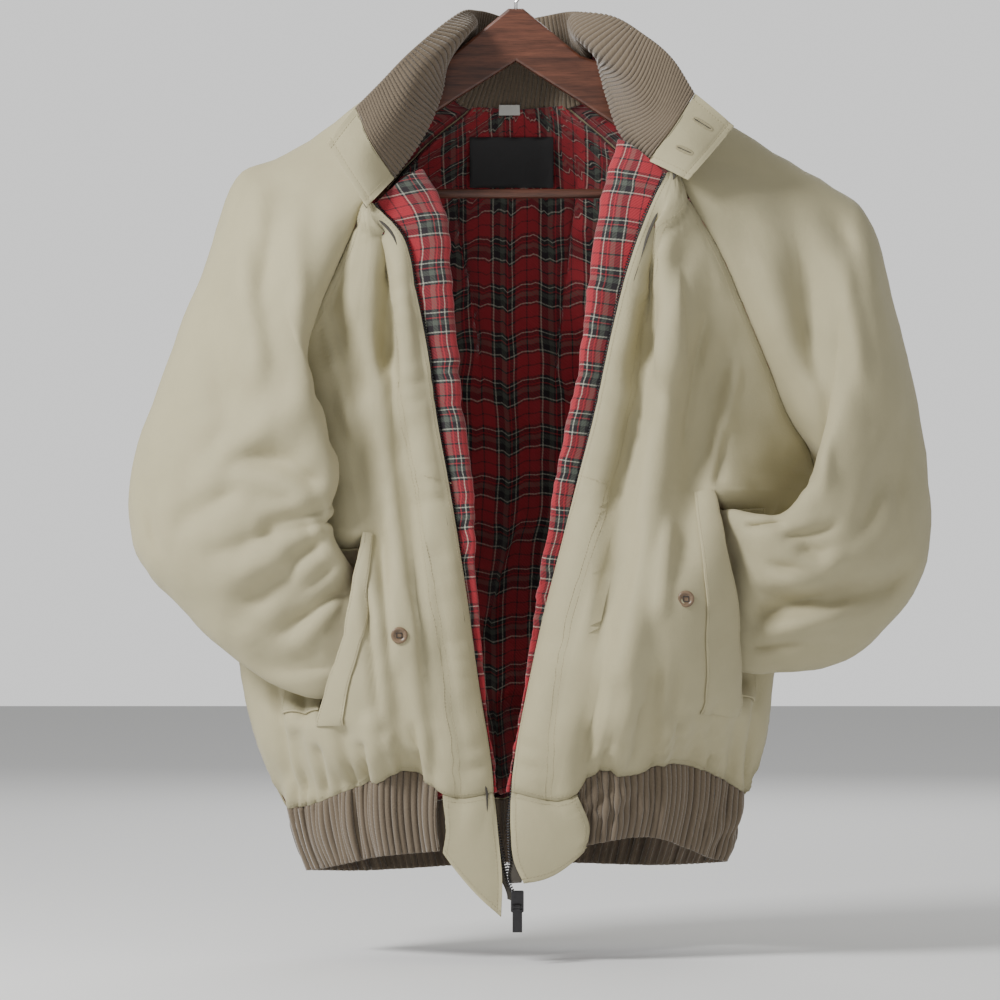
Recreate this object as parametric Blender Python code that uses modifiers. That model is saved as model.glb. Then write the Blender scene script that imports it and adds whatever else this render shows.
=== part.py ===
"""Zip-front bomber jacket with raglan sleeves, hanging open on a wooden hanger.

Frame: metres, +Z up. The hook's inner top is the origin. The jacket's front faces -Y, so +X is the
wearer's left. Lengths below are in millimetres and are turned into metres when a mesh is made.
The sleeve ends are tucked into the slanted front pockets.
"""

import math

import bmesh
import bpy
import numpy as np
from mathutils import Vector
from mathutils.bvhtree import BVHTree

MM = 0.001
SPLIT_BY = Vector((.19, .37, 1))   # both rims of a seam are split from the end that lies further this way

# ---------------------------------------------------------------- driving dimensions (mm)
SHELL_T = 2.0              # outer cloth
LINING_T = 1.6             # quilted lining without its raised quilting
RIB_T = 2.4                # knitted rib without its raised ribs
RIB_RAISE = 1.0
SEAM_GAP = 0.4             # between two pieces sewn together
LAY_GAP = 0.3              # between a piece and what it lies on
COLLAR_RIB_PITCH = 4.7
BAND_RIB_PITCH = 7.0
ZIP_EDGE = 3.0             # from the middle of the zip to the cloth's edge
TAPE_WIDTH = 9.0
TAPE_T = 1.0
TAPE_STEP = 12             # the tape steps back for the thicker hem block this far above it
FACING_STRIP = 8.0         # the first column of cloth beside the zip
TAPE_HOLD = 0.8            # the most of that column that the tape lies under
TEETH_GAP = 0.6            # from a tape's edge to the middle of the zip
ZIP_END_Z = -900
TAB_T = 2.4
TAB_BOW = 3
TAB_STAND = 2.5            # how far a tab's lower end stands off the neck seam
WELT_T = 1.6
FLAP_T = 2.0
FLAP_GAP = 0.6
FLAP_INSET = 0.35          # of a row step, from the mouth's ends
BLOCK_T = 3.0
LABEL_T = 0.8
COLLAR_SEAM_GAP = 2.4      # the collar meets the cloth at an angle, so its edge stands a little off
TAB_SEAM_GAP = 1.0
BAND_SEAM_GAP = 1.2
BAND_END = .007            # the waistband stops this share of its length short of each hem block
BLOCK_SEAM_GAP = 1.0
CUFF_SEAM_GAP = 0.8
BAND_BULGE = 3
LINING_EASE = 5            # how far the back lining stands off the back below the neck
LINING_EASE_ROWS = 4       # rows of the back over which it comes away from it
LINING_INSET = (.35, .4)   # how far it stops short of the back's sides and hem, in cells of the back
LINING_BELOW_NECK = 0.6
LINING_TURN = 9            # how far the rolled front lining turns back
LINING_ROWS = 22
LINING_COLS = 17
LINING_TOP = -166          # a label above this is hung from here
LINING_RISE = 34           # the front lining's top edge climbs this much along the neck seam
LINING_SHOW = 40           # over this width
LINING_LEAN = .45          # and goes back by this share of its climb
QUILT_WAVE = 22
QUILT_LENGTH = 180
QUILT_PITCH = 90
QUILT_RAISE = 2.5
SLIDER_SIZE = (12, 6, 20)
BRIDGE_STAND = 3.0         # from the slider's face to the middle of its bridge bar
BRIDGE_DOWN = .22          # how far below the slider's middle the bridge is, as a share of its height
BRIDGE_W = 8
BRIDGE_D = 1.8
POST_SIZE = (1.4, 4.8, 2.6)
POST_SINK = 0.9            # how far a post's end lies inside the slider
EYE_W = 5.4
EYE_D = 4.4
EYE_PLAY = 0.8             # the eye's hole is this much wider than the bar
PULL_DROP = 2.8            # from the bridge's middle to the pull's plate
BUTTON_D = 15.5
BUTTON_T = 3.0
BUTTON_SIDES = 16
# From the dished middle over the rim to the back: radius as a share of the diameter, depth as one of the thickness
BUTTON_PROFILE = [(0, .55), (.28, .55), (.34, 1), (.44, 1), (.5, .6), (.5, 0), (0, 0)]
HANGER_T = 13.0
BAR_D = 9.0
HOOK_R = 20.0              # inside radius of the hook
HOOK_WIRE = 3.4
HOOK_ARC = range(-50, 216, 14)
HOOK_STEM = [(0, 0), (0, 6), (2.5, 10)]      # x, z above the wood's peak

# ---------------------------------------------------------------- grid sizes
FINE = 1                   # multiplies every grid below
ROWS_HEM_TO_POCKET = 3
ROWS_POCKET = 5
ROWS_POCKET_TO_ARM = 2
ROWS_RAGLAN = 8
COLS_BLOCK = 2
COLS_TO_MOUTH = 4
COLS_TO_SIDE = 4
COLS_BACK = 12
TAB_POINTS = 5
NECK_STEPS = 8             # of the steps round a sleeve, how many lie along the neck
STEPS_ROUND = NECK_STEPS + 2 * ROWS_RAGLAN
BACK_STEP = 8              # the step at which a sleeve's back stands out furthest
SLEEVE_STEPS = (2, 1, 1, 1, 1, 1, 1, 1, 1, 1, 1, 1, 1)
ROUND_BODY_PEAK = .475     # makes a sleeve's outset and drop the real ones at its lowest hidden point

# ---------------------------------------------------------------- tables (mm)
# The middle of the zip, neck to bottom end: x, y, z
ZIP = {
    "right": [(-131, -83, -259), (-103, -86, -289), (-91, -86, -340), (-80, -85, -396), (-71, -86, -461),
              (-61, -88, -516), (-43, -94, -628), (-33, -99, -702), (-21, -105, -777), (-15, -109, -833),
              (-10, -111, -860), (-8, -112, -888), (-1, -113, -903)],
    "left": [(138, -83, -230), (125, -86, -256), (101, -86, -321), (87, -85, -377), (69, -86, -461),
             (55, -88, -516), (41, -91, -572), (22, -96, -647), (8, -101, -712), (-1, -105, -758),
             (-8, -108, -814), (-9.2, -110, -843), (-7, -111, -867), (-6, -112, -887), (1, -113, -903)],
}
HEM_Z = -806               # where the front's zip edge meets the hem block

# Side seam, hem to underarm: x, y, z
SIDE_SEAM = {
    "right": [(-218, 4, -826), (-240, 2, -780), (-258, 0, -715), (-266, 0, -640), (-270, 0, -560),
              (-270, 0, -512)],
    "left": [(218, 4, -814), (234, 2, -775), (244, 0, -705), (256, 0, -620), (276, 0, -545), (284, 0, -510)],
}
# Front raglan seam, underarm to neck: x, y, z
RAGLAN_FRONT = {
    "right": [(-270, 0, -512), (-258, -34, -478), (-234, -54, -434), (-208, -63, -396), (-173, -71, -329),
              (-154, -73, -288), (-141, -74, -256)],
    "left": [(284, 0, -510), (274, -30, -484), (257, -44, -459), (236, -54, -408), (213, -62, -354),
             (190, -69, -302), (163, -73, -256), (149, -74, -228)],
}
# Back raglan seam, underarm to neck: x, y, z
RAGLAN_BACK = {
    "right": [(-270, 0, -512), (-256, 34, -470), (-225, 54, -400), (-160, 58, -290), (-95, 44, -205),
              (-42, 31, -160)],
    "left": [(284, 0, -510), (268, 34, -470), (232, 54, -400), (168, 58, -290), (102, 44, -205), (48, 30, -159)],
}
# Neck seam along the sleeve head, front raglan seam to back raglan seam: share of the way, x, y, z
NECK_SLEEVE = {
    "right": [(0, -141, -74, -256), (.125, -116, -72, -231), (.25, -89, -54, -191), (.375, -72, -32, -150),
              (.50, -62, 0, -100), (.72, -57, 22, -146), (1, -42, 31, -160)],
    "left": [(0, 149, -74, -228), (.125, 126, -73, -214), (.25, 101, -54, -190), (.375, 88, -33, -154),
             (.50, 74, 0, -106), (.72, 69, 21, -146), (1, 48, 30, -159)],
}
NECK_BACK_DIP = 3.5        # the neck seam's middle lies this far below its ends on the back

# How a front bends between its zip edge and its seam:
# height (0 hem, .5 underarm, 1 neck), roundness of the side, bulge of the front
FRONT_FORM = {
    "right": [(0, 3.2, 8), (.06, 3.0, 20), (.14, 2.8, 27), (.33, 2.4, 28), (.42, 2.0, 14), (.5, 1.8, 8),
              (.7, 1.5, 4), (1, 1.2, 0)],
    "left": [(0, 3.6, 8), (.06, 3.6, 22), (.13, 4.8, 40), (.38, 4.8, 42), (.46, 3.0, 20), (.53, 2.0, 8),
             (.7, 1.5, 4), (1, 1.2, 0)],
}
# How far the gathered hem is lifted, from the zip to the side seam: share of the way, lift
HEM_LIFT = {
    "right": [(0, 0), (.22, 2), (.30, 14), (.41, 27), (.55, 21), (.70, 13), (.87, 2), (1, 0)],
    "left": [(0, 0), (.26, 0), (.36, 22), (.50, 18), (.62, 29), (.74, 28), (.87, 18), (1, 0)],
}
BLOCK_SHARE = {"right": .235, "left": .27}     # where the hem block ends, as a share of the hem
FOLD_FADE = 16                                 # folds fade this near a front's edges
BULGE_LEAN = .85                               # below 1 the bulge lies nearer the zip
HEM_REACH = .09                                # height over which the gathers of the hem die out
HEM_TUCK = 10                                  # the hem lies this far inside the cloth that blouses over it
TUCK_REACH = .03
# Slanted pocket mouth, top to bottom: x, z
MOUTH = {
    "right": [(-142, -556), (-149, -606), (-156, -660), (-172, -701), (-184, -742)],
    "left": [(183, -522), (187, -548), (193, -578), (202, -634), (206, -697), (207, -722)],
}
MOUTH_ROWS = {"right": (.125, .425), "left": (.125, .475)}    # heights of the mouth's two ends
MOUTH_LIMITS = (.3, .85)                       # the mouth's share of the way to the seam stays in here
MOUTH_LINE_TOP = .62                           # where the mouth's line of points meets the neck
MOUTH_PUSH = {"right": 54, "left": 60}         # how far the sleeve presses the cloth in behind the mouth
PUSH_RAMP = (.06, .055)                        # height over which the push grows at the mouth's two ends
PUSH_FALL = 1.2                                # how fast it falls off towards the seam

# Soft folds seen from the front: x and z of both ends, half width, depth (minus is a ridge)
FRONT_FOLDS = {
    "right": [(-120, -275, -119, -410, 9, 16), (-117, -400, -92, -620, 9, 9), (-88, -610, -72, -790, 8, 5),
              (-100, -300, -104, -470, 10, -5), (-190, -300, -150, -440, 16, 7), (-150, -470, -120, -620, 14, 5),
              (-112, -690, -100, -790, 11, 5), (-160, -745, -152, -805, 9, 5), (-205, -750, -196, -810, 9, 5),
              (-134, -735, -128, -795, 8, -4)],
    "left": [(128, -270, 122, -400, 10, 15), (120, -390, 84, -640, 10, 12), (84, -620, 62, -790, 8, 7),
             (134, -290, 142, -420, 11, -8), (160, -330, 120, -560, 14, -6), (190, -400, 150, -600, 15, 6),
             (108, -640, 88, -780, 12, -7), (128, -690, 122, -785, 9, 6), (170, -730, 166, -785, 9, 5),
             (205, -735, 200, -800, 8, 5)],
}
# Back panel: height, how far the middle stands back, how far it stands back beside the middle
BACK_FORM = [(0, 66, 64), (.07, 84, 82), (.16, 92, 90), (.35, 86, 84), (.5, 78, 78), (.7, 70, 72), (.88, 54, 58),
             (1, 35, 34)]
BACK_FOLDS = [(-120, -250, -60, -560, 18, -6), (130, -250, 70, -580, 18, -6), (-190, -420, -170, -700, 14, -6),
              (200, -420, 176, -690, 14, -6), (10, -420, -10, -760, 20, -5), (-90, -700, -84, -810, 10, -6),
              (-20, -720, -18, -815, 10, -6), (50, -700, 46, -812, 10, -6), (120, -720, 112, -812, 10, -6),
              (-150, -730, -142, -815, 10, -6)]

# Sleeve sections from the armhole to the cuff. Each is a loop hung between an outer and an inner point.
# ox, oz: outer point; ix, iz: inner point; oy, iy: their depths; front, back: how far the loop stands out
# to each side; thin: how much the back side thins towards the inner point; outset, drop: how far its hidden
# lower part swings out and down, round the side of the body; late: how late the back side comes forward to
# the inner point; turn: which of the 24 points round is the inner point
SLEEVE_COLUMNS = ("ox", "oz", "ix", "iz", "oy", "iy", "front", "back", "thin", "outset", "drop", "late", "turn")
SLEEVE = {
    "right": [(-214, -209, -196, -410, 0, -90, 44, 58, 0, 82, 110, 3, 16),
              (-262, -231, -186, -440, -4, -92, 46, 62, .1, 86, 98, 3, 15),
              (-290, -308, -172, -484, -8, -95, 50, 68, .1, 104, 58, 3, 14),
              (-322, -392, -168, -520, -12, -96, 50, 72, .3, 100, 26, 3, 14),
              (-350, -470, -171, -542, -20, -96, 46, 84, .5, 88, 12, 2.8, 13),
              (-363, -540, -176, -557, -30, -96, 43, 68, .65, 44, 6, 2.2, 12),
              (-350, -592, -172, -569, -40, -95, 41, 46, .75, 14, 0, 1.8, 12),
              (-312, -636, -166, -582, -50, -92, 37, 34, .85, 0, 0, 1.3, 12),
              (-268, -677, -158, -593, -60, -87, 30, 24, .7, 0, 0, 1, 12),
              (-222, -707, -152, -601, -70, -83, 20, 11, .4, 0, 0, 1, 12),
              (-183, -718, -149, -607, -77, -80, 13, 10, 0, 0, 0, 1, 12),
              (-152, -715, -124, -622, -78, -80, 12, 12, 0, 0, 0, 1, 12),
              (-124, -710, -104, -634, -79, -80, 12, 12, 0, 0, 0, 1, 12)],
    "left": [(284, -233, 294, -500, -2, -42, 50, 58, 0, 18, 8, 3, 13),
             (331, -268, 279, -512, -6, -62, 46, 66, .1, 40, 14, 3, 13),
             (352, -342, 271, -526, -10, -80, 50, 64, .15, 42, 12, 3, 12),
             (374, -430, 262, -538, -14, -90, 49, 58, .3, 42, 2, 3, 12),
             (387, -520, 252, -547, -22, -94, 46, 52, .5, 34, 0, 2.5, 12),
             (384, -592, 240, -551, -32, -95, 44, 46, .7, 18, 0, 2, 12),
             (352, -647, 228, -550, -44, -94, 42, 38, .8, 6, 0, 1.6, 12),
             (308, -683, 216, -548, -54, -91, 37, 30, .85, 0, 0, 1.3, 12),
             (264, -692, 204, -547, -62, -86, 28, 22, .6, 0, 0, 1, 12),
             (230, -695, 195, -548, -68, -80, 17, 11, .3, 0, 0, 1, 12),
             (208, -692, 189, -551, -73, -76, 11, 10, 0, 0, 0, 1, 12),
             (184, -688, 166, -566, -74, -76, 11, 10, 0, 0, 0, 1, 12),
             (158, -680, 142, -590, -75, -76, 11, 11, 0, 0, 0, 1, 12)],
}
# Where each cuff ends: ox, oz, ix, iz
CUFF_END = {"right": (-88, -704, -80, -642), "left": (106, -672, 98, -604)}
CUFF_DEPTH = (-78, 10)      # middle and half depth of a cuff

# Soft folds on the sleeves' front sides, as on the fronts
SLEEVE_FOLDS = {
    "right": [(-272, -508, -240, -486, 9, 7), (-240, -486, -185, -520, 9, 8), (-270, -495, -192, -436, 14, -6),
              (-235, -560, -178, -545, 9, 7), (-255, -630, -180, -570, 9, 8), (-230, -660, -160, -620, 8, 6),
              (-262, -300, -245, -430, 16, -5), (-240, -690, -185, -680, 8, 5), (-300, -380, -320, -500, 22, -4)],
    "left": [(226, -642, 276, -624, 10, 10), (276, -624, 364, -606, 10, 11), (262, -578, 288, -587, 9, 6),
             (214, -260, 226, -420, 12, 8), (240, -262, 252, -440, 11, -7), (262, -262, 272, -400, 10, 7),
             (330, -300, 352, -460, 18, -6), (230, -660, 300, -655, 12, -5), (236, -610, 340, -590, 14, -5)],
}
SLEEVE_FOLD_ENDS = (1.2, 11.5)                 # sections between which the folds are whole and have died out

# Rolled front lining: height, how far it shows past the zip, how far it reaches back under the front
LINING_ROLL = {
    "right": [(0, 3, 8), (.1, 4, 10), (.2, 9, 12), (.35, 14, 14), (.5, 24, 16), (.7, 28, 13), (.85, 36, 9),
              (1, 44, 2)],
    "left": [(0, 3, 8), (.1, 3.6, 10), (.2, 8, 12), (.35, 18, 14), (.5, 24, 16), (.7, 26, 13), (.85, 36, 9),
             (1, 44, 2)],
}

# Collar: share of the way round, then x, y, z of its fold and of its free edge (it starts at the neck seam)
COLLAR = [
    (0.00, -135, -90, -203, -149, -84, -169),
    (0.09, -112, -80, -176, -127, -78, -146),
    (0.18, -84, -64, -133, -100, -68, -117),
    (0.27, -44, -28, -92, -66, -38, -86),
    (0.32, -38, 2, -85, -50, -12, -73),
    (0.38, -40, 27, -104, -34, 18, -70),
    (0.50, 2, 41, -118, 2, 46, -76),
    (0.62, 54, 27, -106, 50, 18, -71),
    (0.68, 51, 2, -86, 62, -10, -74),
    (0.73, 58, -28, -97, 88, -40, -80),
    (0.82, 103, -66, -136, 122, -70, -102),
    (0.91, 128, -80, -168, 146, -78, -124),
    (1.00, 146, -90, -188, 166, -82, -156),
]
# Collar tabs: the two free corners, x, y, z
TAB = {
    "right": {"low": (-139, -88, -263), "high": (-176, -86, -203)},
    "left": {"low": (160, -90, -238), "high": (203, -84, -187)},
}

# Waistband's lower edge: share of the way round, z, share of the upper edge's width
BAND_BOTTOM = [(0, -860, .97), (.1, -868, .95), (.2, -882, .92), (.3, -888, .91), (.5, -882, .92), (.7, -882, .92),
               (.8, -872, .93), (.9, -849, .96), (1, -858, .98)]
# Hem blocks below the front's hem: outer edge and zip edge, top to bottom: x, z
BLOCK = {
    "right": {"outer": [(-64, -806), (-65, -842), (-68, -862)],
              "zip": [(-20, -808), (-17, -842), (-13, -886), (-14, -921)]},
    "left": {"outer": [(56, -806), (68, -842), (63, -861)], "zip": [(-4, -808), (-5, -842), (-2, -870), (7, -890)]},
}
BLOCK_ROWS = 6
BLOCK_SAG = {"right": -4, "left": -7}          # how far the bottom edge bows down
BLOCK_Y = (-107, -112)                         # at its top and its bottom
BLOCK_BULGE = 5
BLOCK_EASE = 1.4                               # above 1 it leaves the front's form higher up

BUTTON_AT = {"right": (-108, -660), "left": (156, -626)}       # x, z on the front
LABEL = (-4, -213, 80, 48)                     # middle x, middle z, width, height
SIZE_TAG = (-6, -163.5, 20, 10)
LABEL_POINTS = (4, 6)
LABEL_OFF = 1.0                                # from the lining's face to the middle of a label

# Hanger: its arms' upper edges follow the cloth that lies on them
HANGER_PEAK = -70
HANGER_NOTCH = -120
HANGER_NECK_W = 7
HANGER_TOP = [(40, -97), (62, -115)]            # x, z of its upper edge where no cloth lies on it
HANGER_STATIONS = range(84, 210, 12)           # x where the cloth above it is measured
HANGER_END_X = 211
HANGER_END_DROP = 16       # its upper edge falls this much past the last station
HANGER_BELOW = [(170, -231), (120, -198), (60, -158)]
HANGER_LUG_X = 196         # inner face of the lug that holds the bar
HANGER_LUG = (8, 11)       # how far a lug reaches above and below the bar's middle
HANGER_LUG_CORNER = (6, 4)                     # x and z of the cut corner: from the end, and below the bar's middle
BAR_SINK = 2
HANGER_LOWEST_CLOTH = -270                     # cloth below this doesn't lie on the hanger
HANGER_BEVEL = 2.5
CLOTH_ON_WOOD = 0.7
BAR_Z = -245
PULL_SIZE = (9, 1.6, 21)
SLIDER_AT = (1, -119.5, -906)


# ---------------------------------------------------------------- curves
def smooth(keys, values, at):
    """A cubic curve through values at rising keys, read at the given places."""
    keys = np.asarray(keys, float)
    values = np.asarray(values, float).reshape(len(keys), -1)
    at = np.clip(np.atleast_1d(np.asarray(at, float)), keys[0], keys[-1])
    slope = np.gradient(values, keys, axis=0)
    i = np.clip(np.searchsorted(keys, at, side="right") - 1, 0, len(keys) - 2)
    h = (keys[i + 1] - keys[i])[:, None]
    t = (at - keys[i])[:, None] / h
    return ((2 * t**3 - 3 * t**2 + 1) * values[i] + (t**3 - 2 * t**2 + t) * h * slope[i]
            + (3 * t**2 - 2 * t**3) * values[i + 1] + (t**3 - t**2) * h * slope[i + 1])


def chord_keys(points):
    """Share of the whole length at each point of a polyline."""
    steps = np.linalg.norm(np.diff(np.asarray(points, float), axis=0), axis=1)
    return np.concatenate([[0], np.cumsum(steps)]) / steps.sum()


def path(points, at):
    """A smooth curve through points, read at shares of its length."""
    return smooth(chord_keys(points), points, at)


def polyline(points, at):
    """Straight stretches between points, read at shares of the length."""
    points = np.asarray(points, float)
    keys = chord_keys(points)
    return np.stack([np.interp(at, keys, points[:, k]) for k in range(points.shape[1])], axis=-1)


def ramp(x):
    """0 below 0, 1 above 1, smooth between."""
    x = np.clip(x, 0, 1)
    return x * x * (3 - 2 * x)


def steps(*spans):
    """Heights or shares: (start, end, count) spans joined without repeats."""
    values = [spans[0][0]]
    for start, end, count in spans:
        values += list(np.linspace(start, end, count * FINE + 1)[1:])
    return np.array(values)


def fold_depth(points, folds):
    """How far the folds press each point in: a soft trough or ridge along each line, fading at its ends."""
    depth = np.zeros(points.shape[:-1])
    for x0, z0, x1, z1, width, amount in folds:
        start = np.array([x0, z0], float)
        along = np.array([x1, z1], float) - start
        length = np.linalg.norm(along)
        offset = points[..., (0, 2)] - start
        t = (offset @ along) / length**2
        across = (offset[..., 0] * along[1] - offset[..., 1] * along[0]) / length
        ends = ramp((t + .15) / .3) * ramp((1.15 - t) / .3)
        depth += amount * ends * np.exp(-(across / width) ** 2)
    return depth


# ---------------------------------------------------------------- sheets of cloth
def normals(points, closed=False):
    """Unit normals of a grid of points: rows x columns, closed along the columns if asked."""
    if closed:
        wide = np.concatenate([points[:, -1:], points, points[:, :1]], axis=1)
        along = (wide[:, 2:] - wide[:, :-2])
    else:
        along = np.gradient(points, axis=1)
    up = np.gradient(points, axis=0)
    cross = np.cross(along, up)
    return cross / np.maximum(np.linalg.norm(cross, axis=-1, keepdims=True), 1e-9)


def wall(name, points, thickness, finish, closed=False, outward=1, raised=None, slit=None, edge_normals=None):
    """A closed wall round a grid of points. `raised` lifts its outer side only. Both sides of a cell are split
    along the same, shorter diagonal.

    slit = (column, first row, last row, grid for the columns past it): the wall is cut open along it.
    edge_normals = {"row0"|"row1"|"col0"|"col1": normals} makes this edge's rim face like its neighbour's."""
    unit = outward * normals(points, closed)
    for edge, values in (edge_normals or {}).items():
        where = {"row0": (0, slice(None)), "row1": (-1, slice(None)), "col0": (slice(None), 0),
                 "col1": (slice(None), -1)}[edge]
        unit[where] = values
    lift = thickness / 2 if raised is None else thickness / 2 + raised[..., None]
    mesh = bmesh.new()

    def add(grid):
        return [[mesh.verts.new(p * MM) for p in row] for row in grid]

    outer = add(points + unit * lift)
    inner = add(points - unit * thickness / 2)
    rows, cols = points.shape[:2]
    past_outer, past_inner = outer, inner
    if slit:
        column, low, high, past = slit
        past_outer = [list(row) for row in outer]
        past_inner = [list(row) for row in inner]
        for i in range(low + 1, high):
            past_outer[i][column] = mesh.verts.new((past[i] + unit[i, column] * thickness / 2) * MM)
            past_inner[i][column] = mesh.verts.new((past[i] - unit[i, column] * thickness / 2) * MM)
    for i in range(rows - 1):
        for j in range(cols if closed else cols - 1):
            k = (j + 1) % cols
            diagonals = points[i, j] - points[i + 1, k], points[i, k] - points[i + 1, j]
            rising = np.linalg.norm(diagonals[0]) <= np.linalg.norm(diagonals[1])
            for side, flip in ((past_outer if slit and j >= slit[0] else outer, False),
                               (past_inner if slit and j >= slit[0] else inner, True)):
                a, b, c, d = side[i][j], side[i][k], side[i + 1][k], side[i + 1][j]
                for face in (((a, b, c), (a, c, d)) if rising else ((a, b, d), (b, c, d))):
                    mesh.faces.new(face[::-1] if flip == (outward > 0) else face)
    partner = {}
    for a, b in ((outer, inner), (past_outer, past_inner)):
        for row_a, row_b in zip(a, b):
            for va, vb in zip(row_a, row_b):
                partner[va] = vb
    outer_faces = [f for f in mesh.faces if all(v in partner for v in f.verts)]
    rims = []
    for face in outer_faces:
        for loop in face.loops:
            if loop.edge.is_boundary:
                a, b = loop.vert, loop.link_loop_next.vert
                rims.append((b, a, partner[a], partner[b]))
    for b, a, inner_a, inner_b in rims:
        rising = SPLIT_BY.dot(a.co - b.co) > 0
        halves = ((b, a, inner_b), (a, inner_a, inner_b)) if rising else ((b, a, inner_a), (b, inner_a, inner_b))
        for face in halves:
            mesh.faces.new(face)
    return finish_mesh(name, mesh, finish)


def finish_mesh(name, mesh, finish, sharp=40):
    bmesh.ops.recalc_face_normals(mesh, faces=mesh.faces)
    data = bpy.data.meshes.new(name)
    mesh.to_mesh(data)
    mesh.free()
    data.shade_smooth()
    data.set_sharp_from_angle(angle=math.radians(sharp))
    data.materials.append(finish)
    item = bpy.data.objects.new(name, data)
    collection.objects.link(item)
    return item


def material(name, colour, roughness=.85, metallic=0.0):
    item = bpy.data.materials.new(name)
    item.use_nodes = True
    item.diffuse_color = (*colour, 1)
    shader = item.node_tree.nodes["Principled BSDF"]
    shader.inputs["Base Color"].default_value = (*colour, 1)
    shader.inputs["Roughness"].default_value = roughness
    shader.inputs["Metallic"].default_value = metallic
    return item


def pull_back(points, edges, gap=SEAM_GAP / 2):
    """Draws the named edges of a grid back into it by a small gap, square to the edge."""
    moved = points.copy()
    every = slice(None)
    places = {"row0": (0, 1), "col0": ((every, 0), (every, 1)), "col1": ((every, -1), (every, -2))}
    for edge in edges:
        rim, next_line = places[edge]
        along = np.gradient(points[rim], axis=0)
        along /= np.linalg.norm(along, axis=-1, keepdims=True)
        step = points[next_line] - points[rim]
        step = step - (step * along).sum(axis=-1, keepdims=True) * along
        moved[rim] += gap * step / np.linalg.norm(step, axis=-1, keepdims=True)
    return moved


# ---------------------------------------------------------------- shapes of the pieces
def out(side):
    """The direction away from the middle: -1 on the wearer's right, +1 on the left."""
    return -1 if side == "right" else 1


def row_heights(side):
    low, high = MOUTH_ROWS[side]
    return steps((0, low, ROWS_HEM_TO_POCKET), (low, high, ROWS_POCKET), (high, .5, ROWS_POCKET_TO_ARM),
                 (.5, 1, ROWS_RAGLAN))


def zip_share(side):
    """Share of the zip's length where the hem lies."""
    points = np.array(ZIP[side], float)
    keys = chord_keys(points)
    return float(np.interp(-HEM_Z, -points[:, 2], keys))


def zip_edge(side, heights):
    """The middle of the zip at heights 0 (hem) to 1 (neck)."""
    return path(ZIP[side], (1 - heights) * zip_share(side))


def outer_edge(side, heights):
    """The seam that ends a front: side seam up to the underarm, then the raglan seam."""
    low = path(SIDE_SEAM[side], np.clip(heights / .5, 0, 1))
    high = path(RAGLAN_FRONT[side], np.clip((heights - .5) / .5, 0, 1))
    return np.where(heights[:, None] <= .5, low, high)


def front_surface(side, heights, shares):
    """Points of a front at a height (per row) and a share of the way from the zip edge to its seam."""
    inner = zip_edge(side, heights) + np.array([out(side) * ZIP_EDGE, 0, 0])
    outer = outer_edge(side, heights)
    form = smooth([r[0] for r in FRONT_FORM[side]], [r[1:] for r in FRONT_FORM[side]], heights)
    s = shares
    points = inner[:, None] + (outer - inner)[:, None] * s[..., None]
    bent = inner[:, None, 1] + (outer - inner)[:, None, 1] * s ** form[:, None, 0]
    points[..., 1] = bent - form[:, None, 1] * np.sin(math.pi * s ** BULGE_LEAN)
    lift = smooth([r[0] for r in HEM_LIFT[side]], [r[1] for r in HEM_LIFT[side]], s.ravel()).reshape(s.shape)
    points[..., 2] += lift * np.exp(-(heights[:, None] / HEM_REACH) ** 2)
    past_block = ramp((s - BLOCK_SHARE[side] + .03) / .12) * ramp((1 - s) / .2)
    points[..., 1] += HEM_TUCK * np.exp(-(heights[:, None] / TUCK_REACH) ** 2) * past_block
    width = np.linalg.norm(outer - inner, axis=1)[:, None]
    edge_fade = ramp(s * width / FOLD_FADE) * ramp((1 - s) * width / FOLD_FADE) * ramp((1 - heights[:, None]) / .06)
    points[..., 1] += fold_depth(points, FRONT_FOLDS[side]) * edge_fade
    return points


def mouth_shares(side, heights):
    """Share of the way from zip edge to seam at which the pocket mouth's line crosses each row. Below the mouth
    it stays as it is, and above it leads to the neck."""
    inner = zip_edge(side, heights) + np.array([out(side) * ZIP_EDGE, 0, 0])
    outer = outer_edge(side, heights)
    line = np.array(MOUTH[side], float)
    order = np.argsort(line[:, 1])
    s = np.full(len(heights), MOUTH_LINE_TOP)
    for _ in range(8):
        z = inner[:, 2] + (outer[:, 2] - inner[:, 2]) * s
        x = np.interp(z, line[order, 1], line[order, 0])
        s = np.clip((x - inner[:, 0]) / (outer[:, 0] - inner[:, 0]), *MOUTH_LIMITS)
    low, high = MOUTH_ROWS[side]
    s_low, s_high = np.interp([low, high], heights, s)
    above = np.clip((heights - high) / (1 - high), 0, 1)
    s = np.where(heights < low, s_low, s)
    return np.where(heights > high, s_high + (MOUTH_LINE_TOP - s_high) * above, s)


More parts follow.
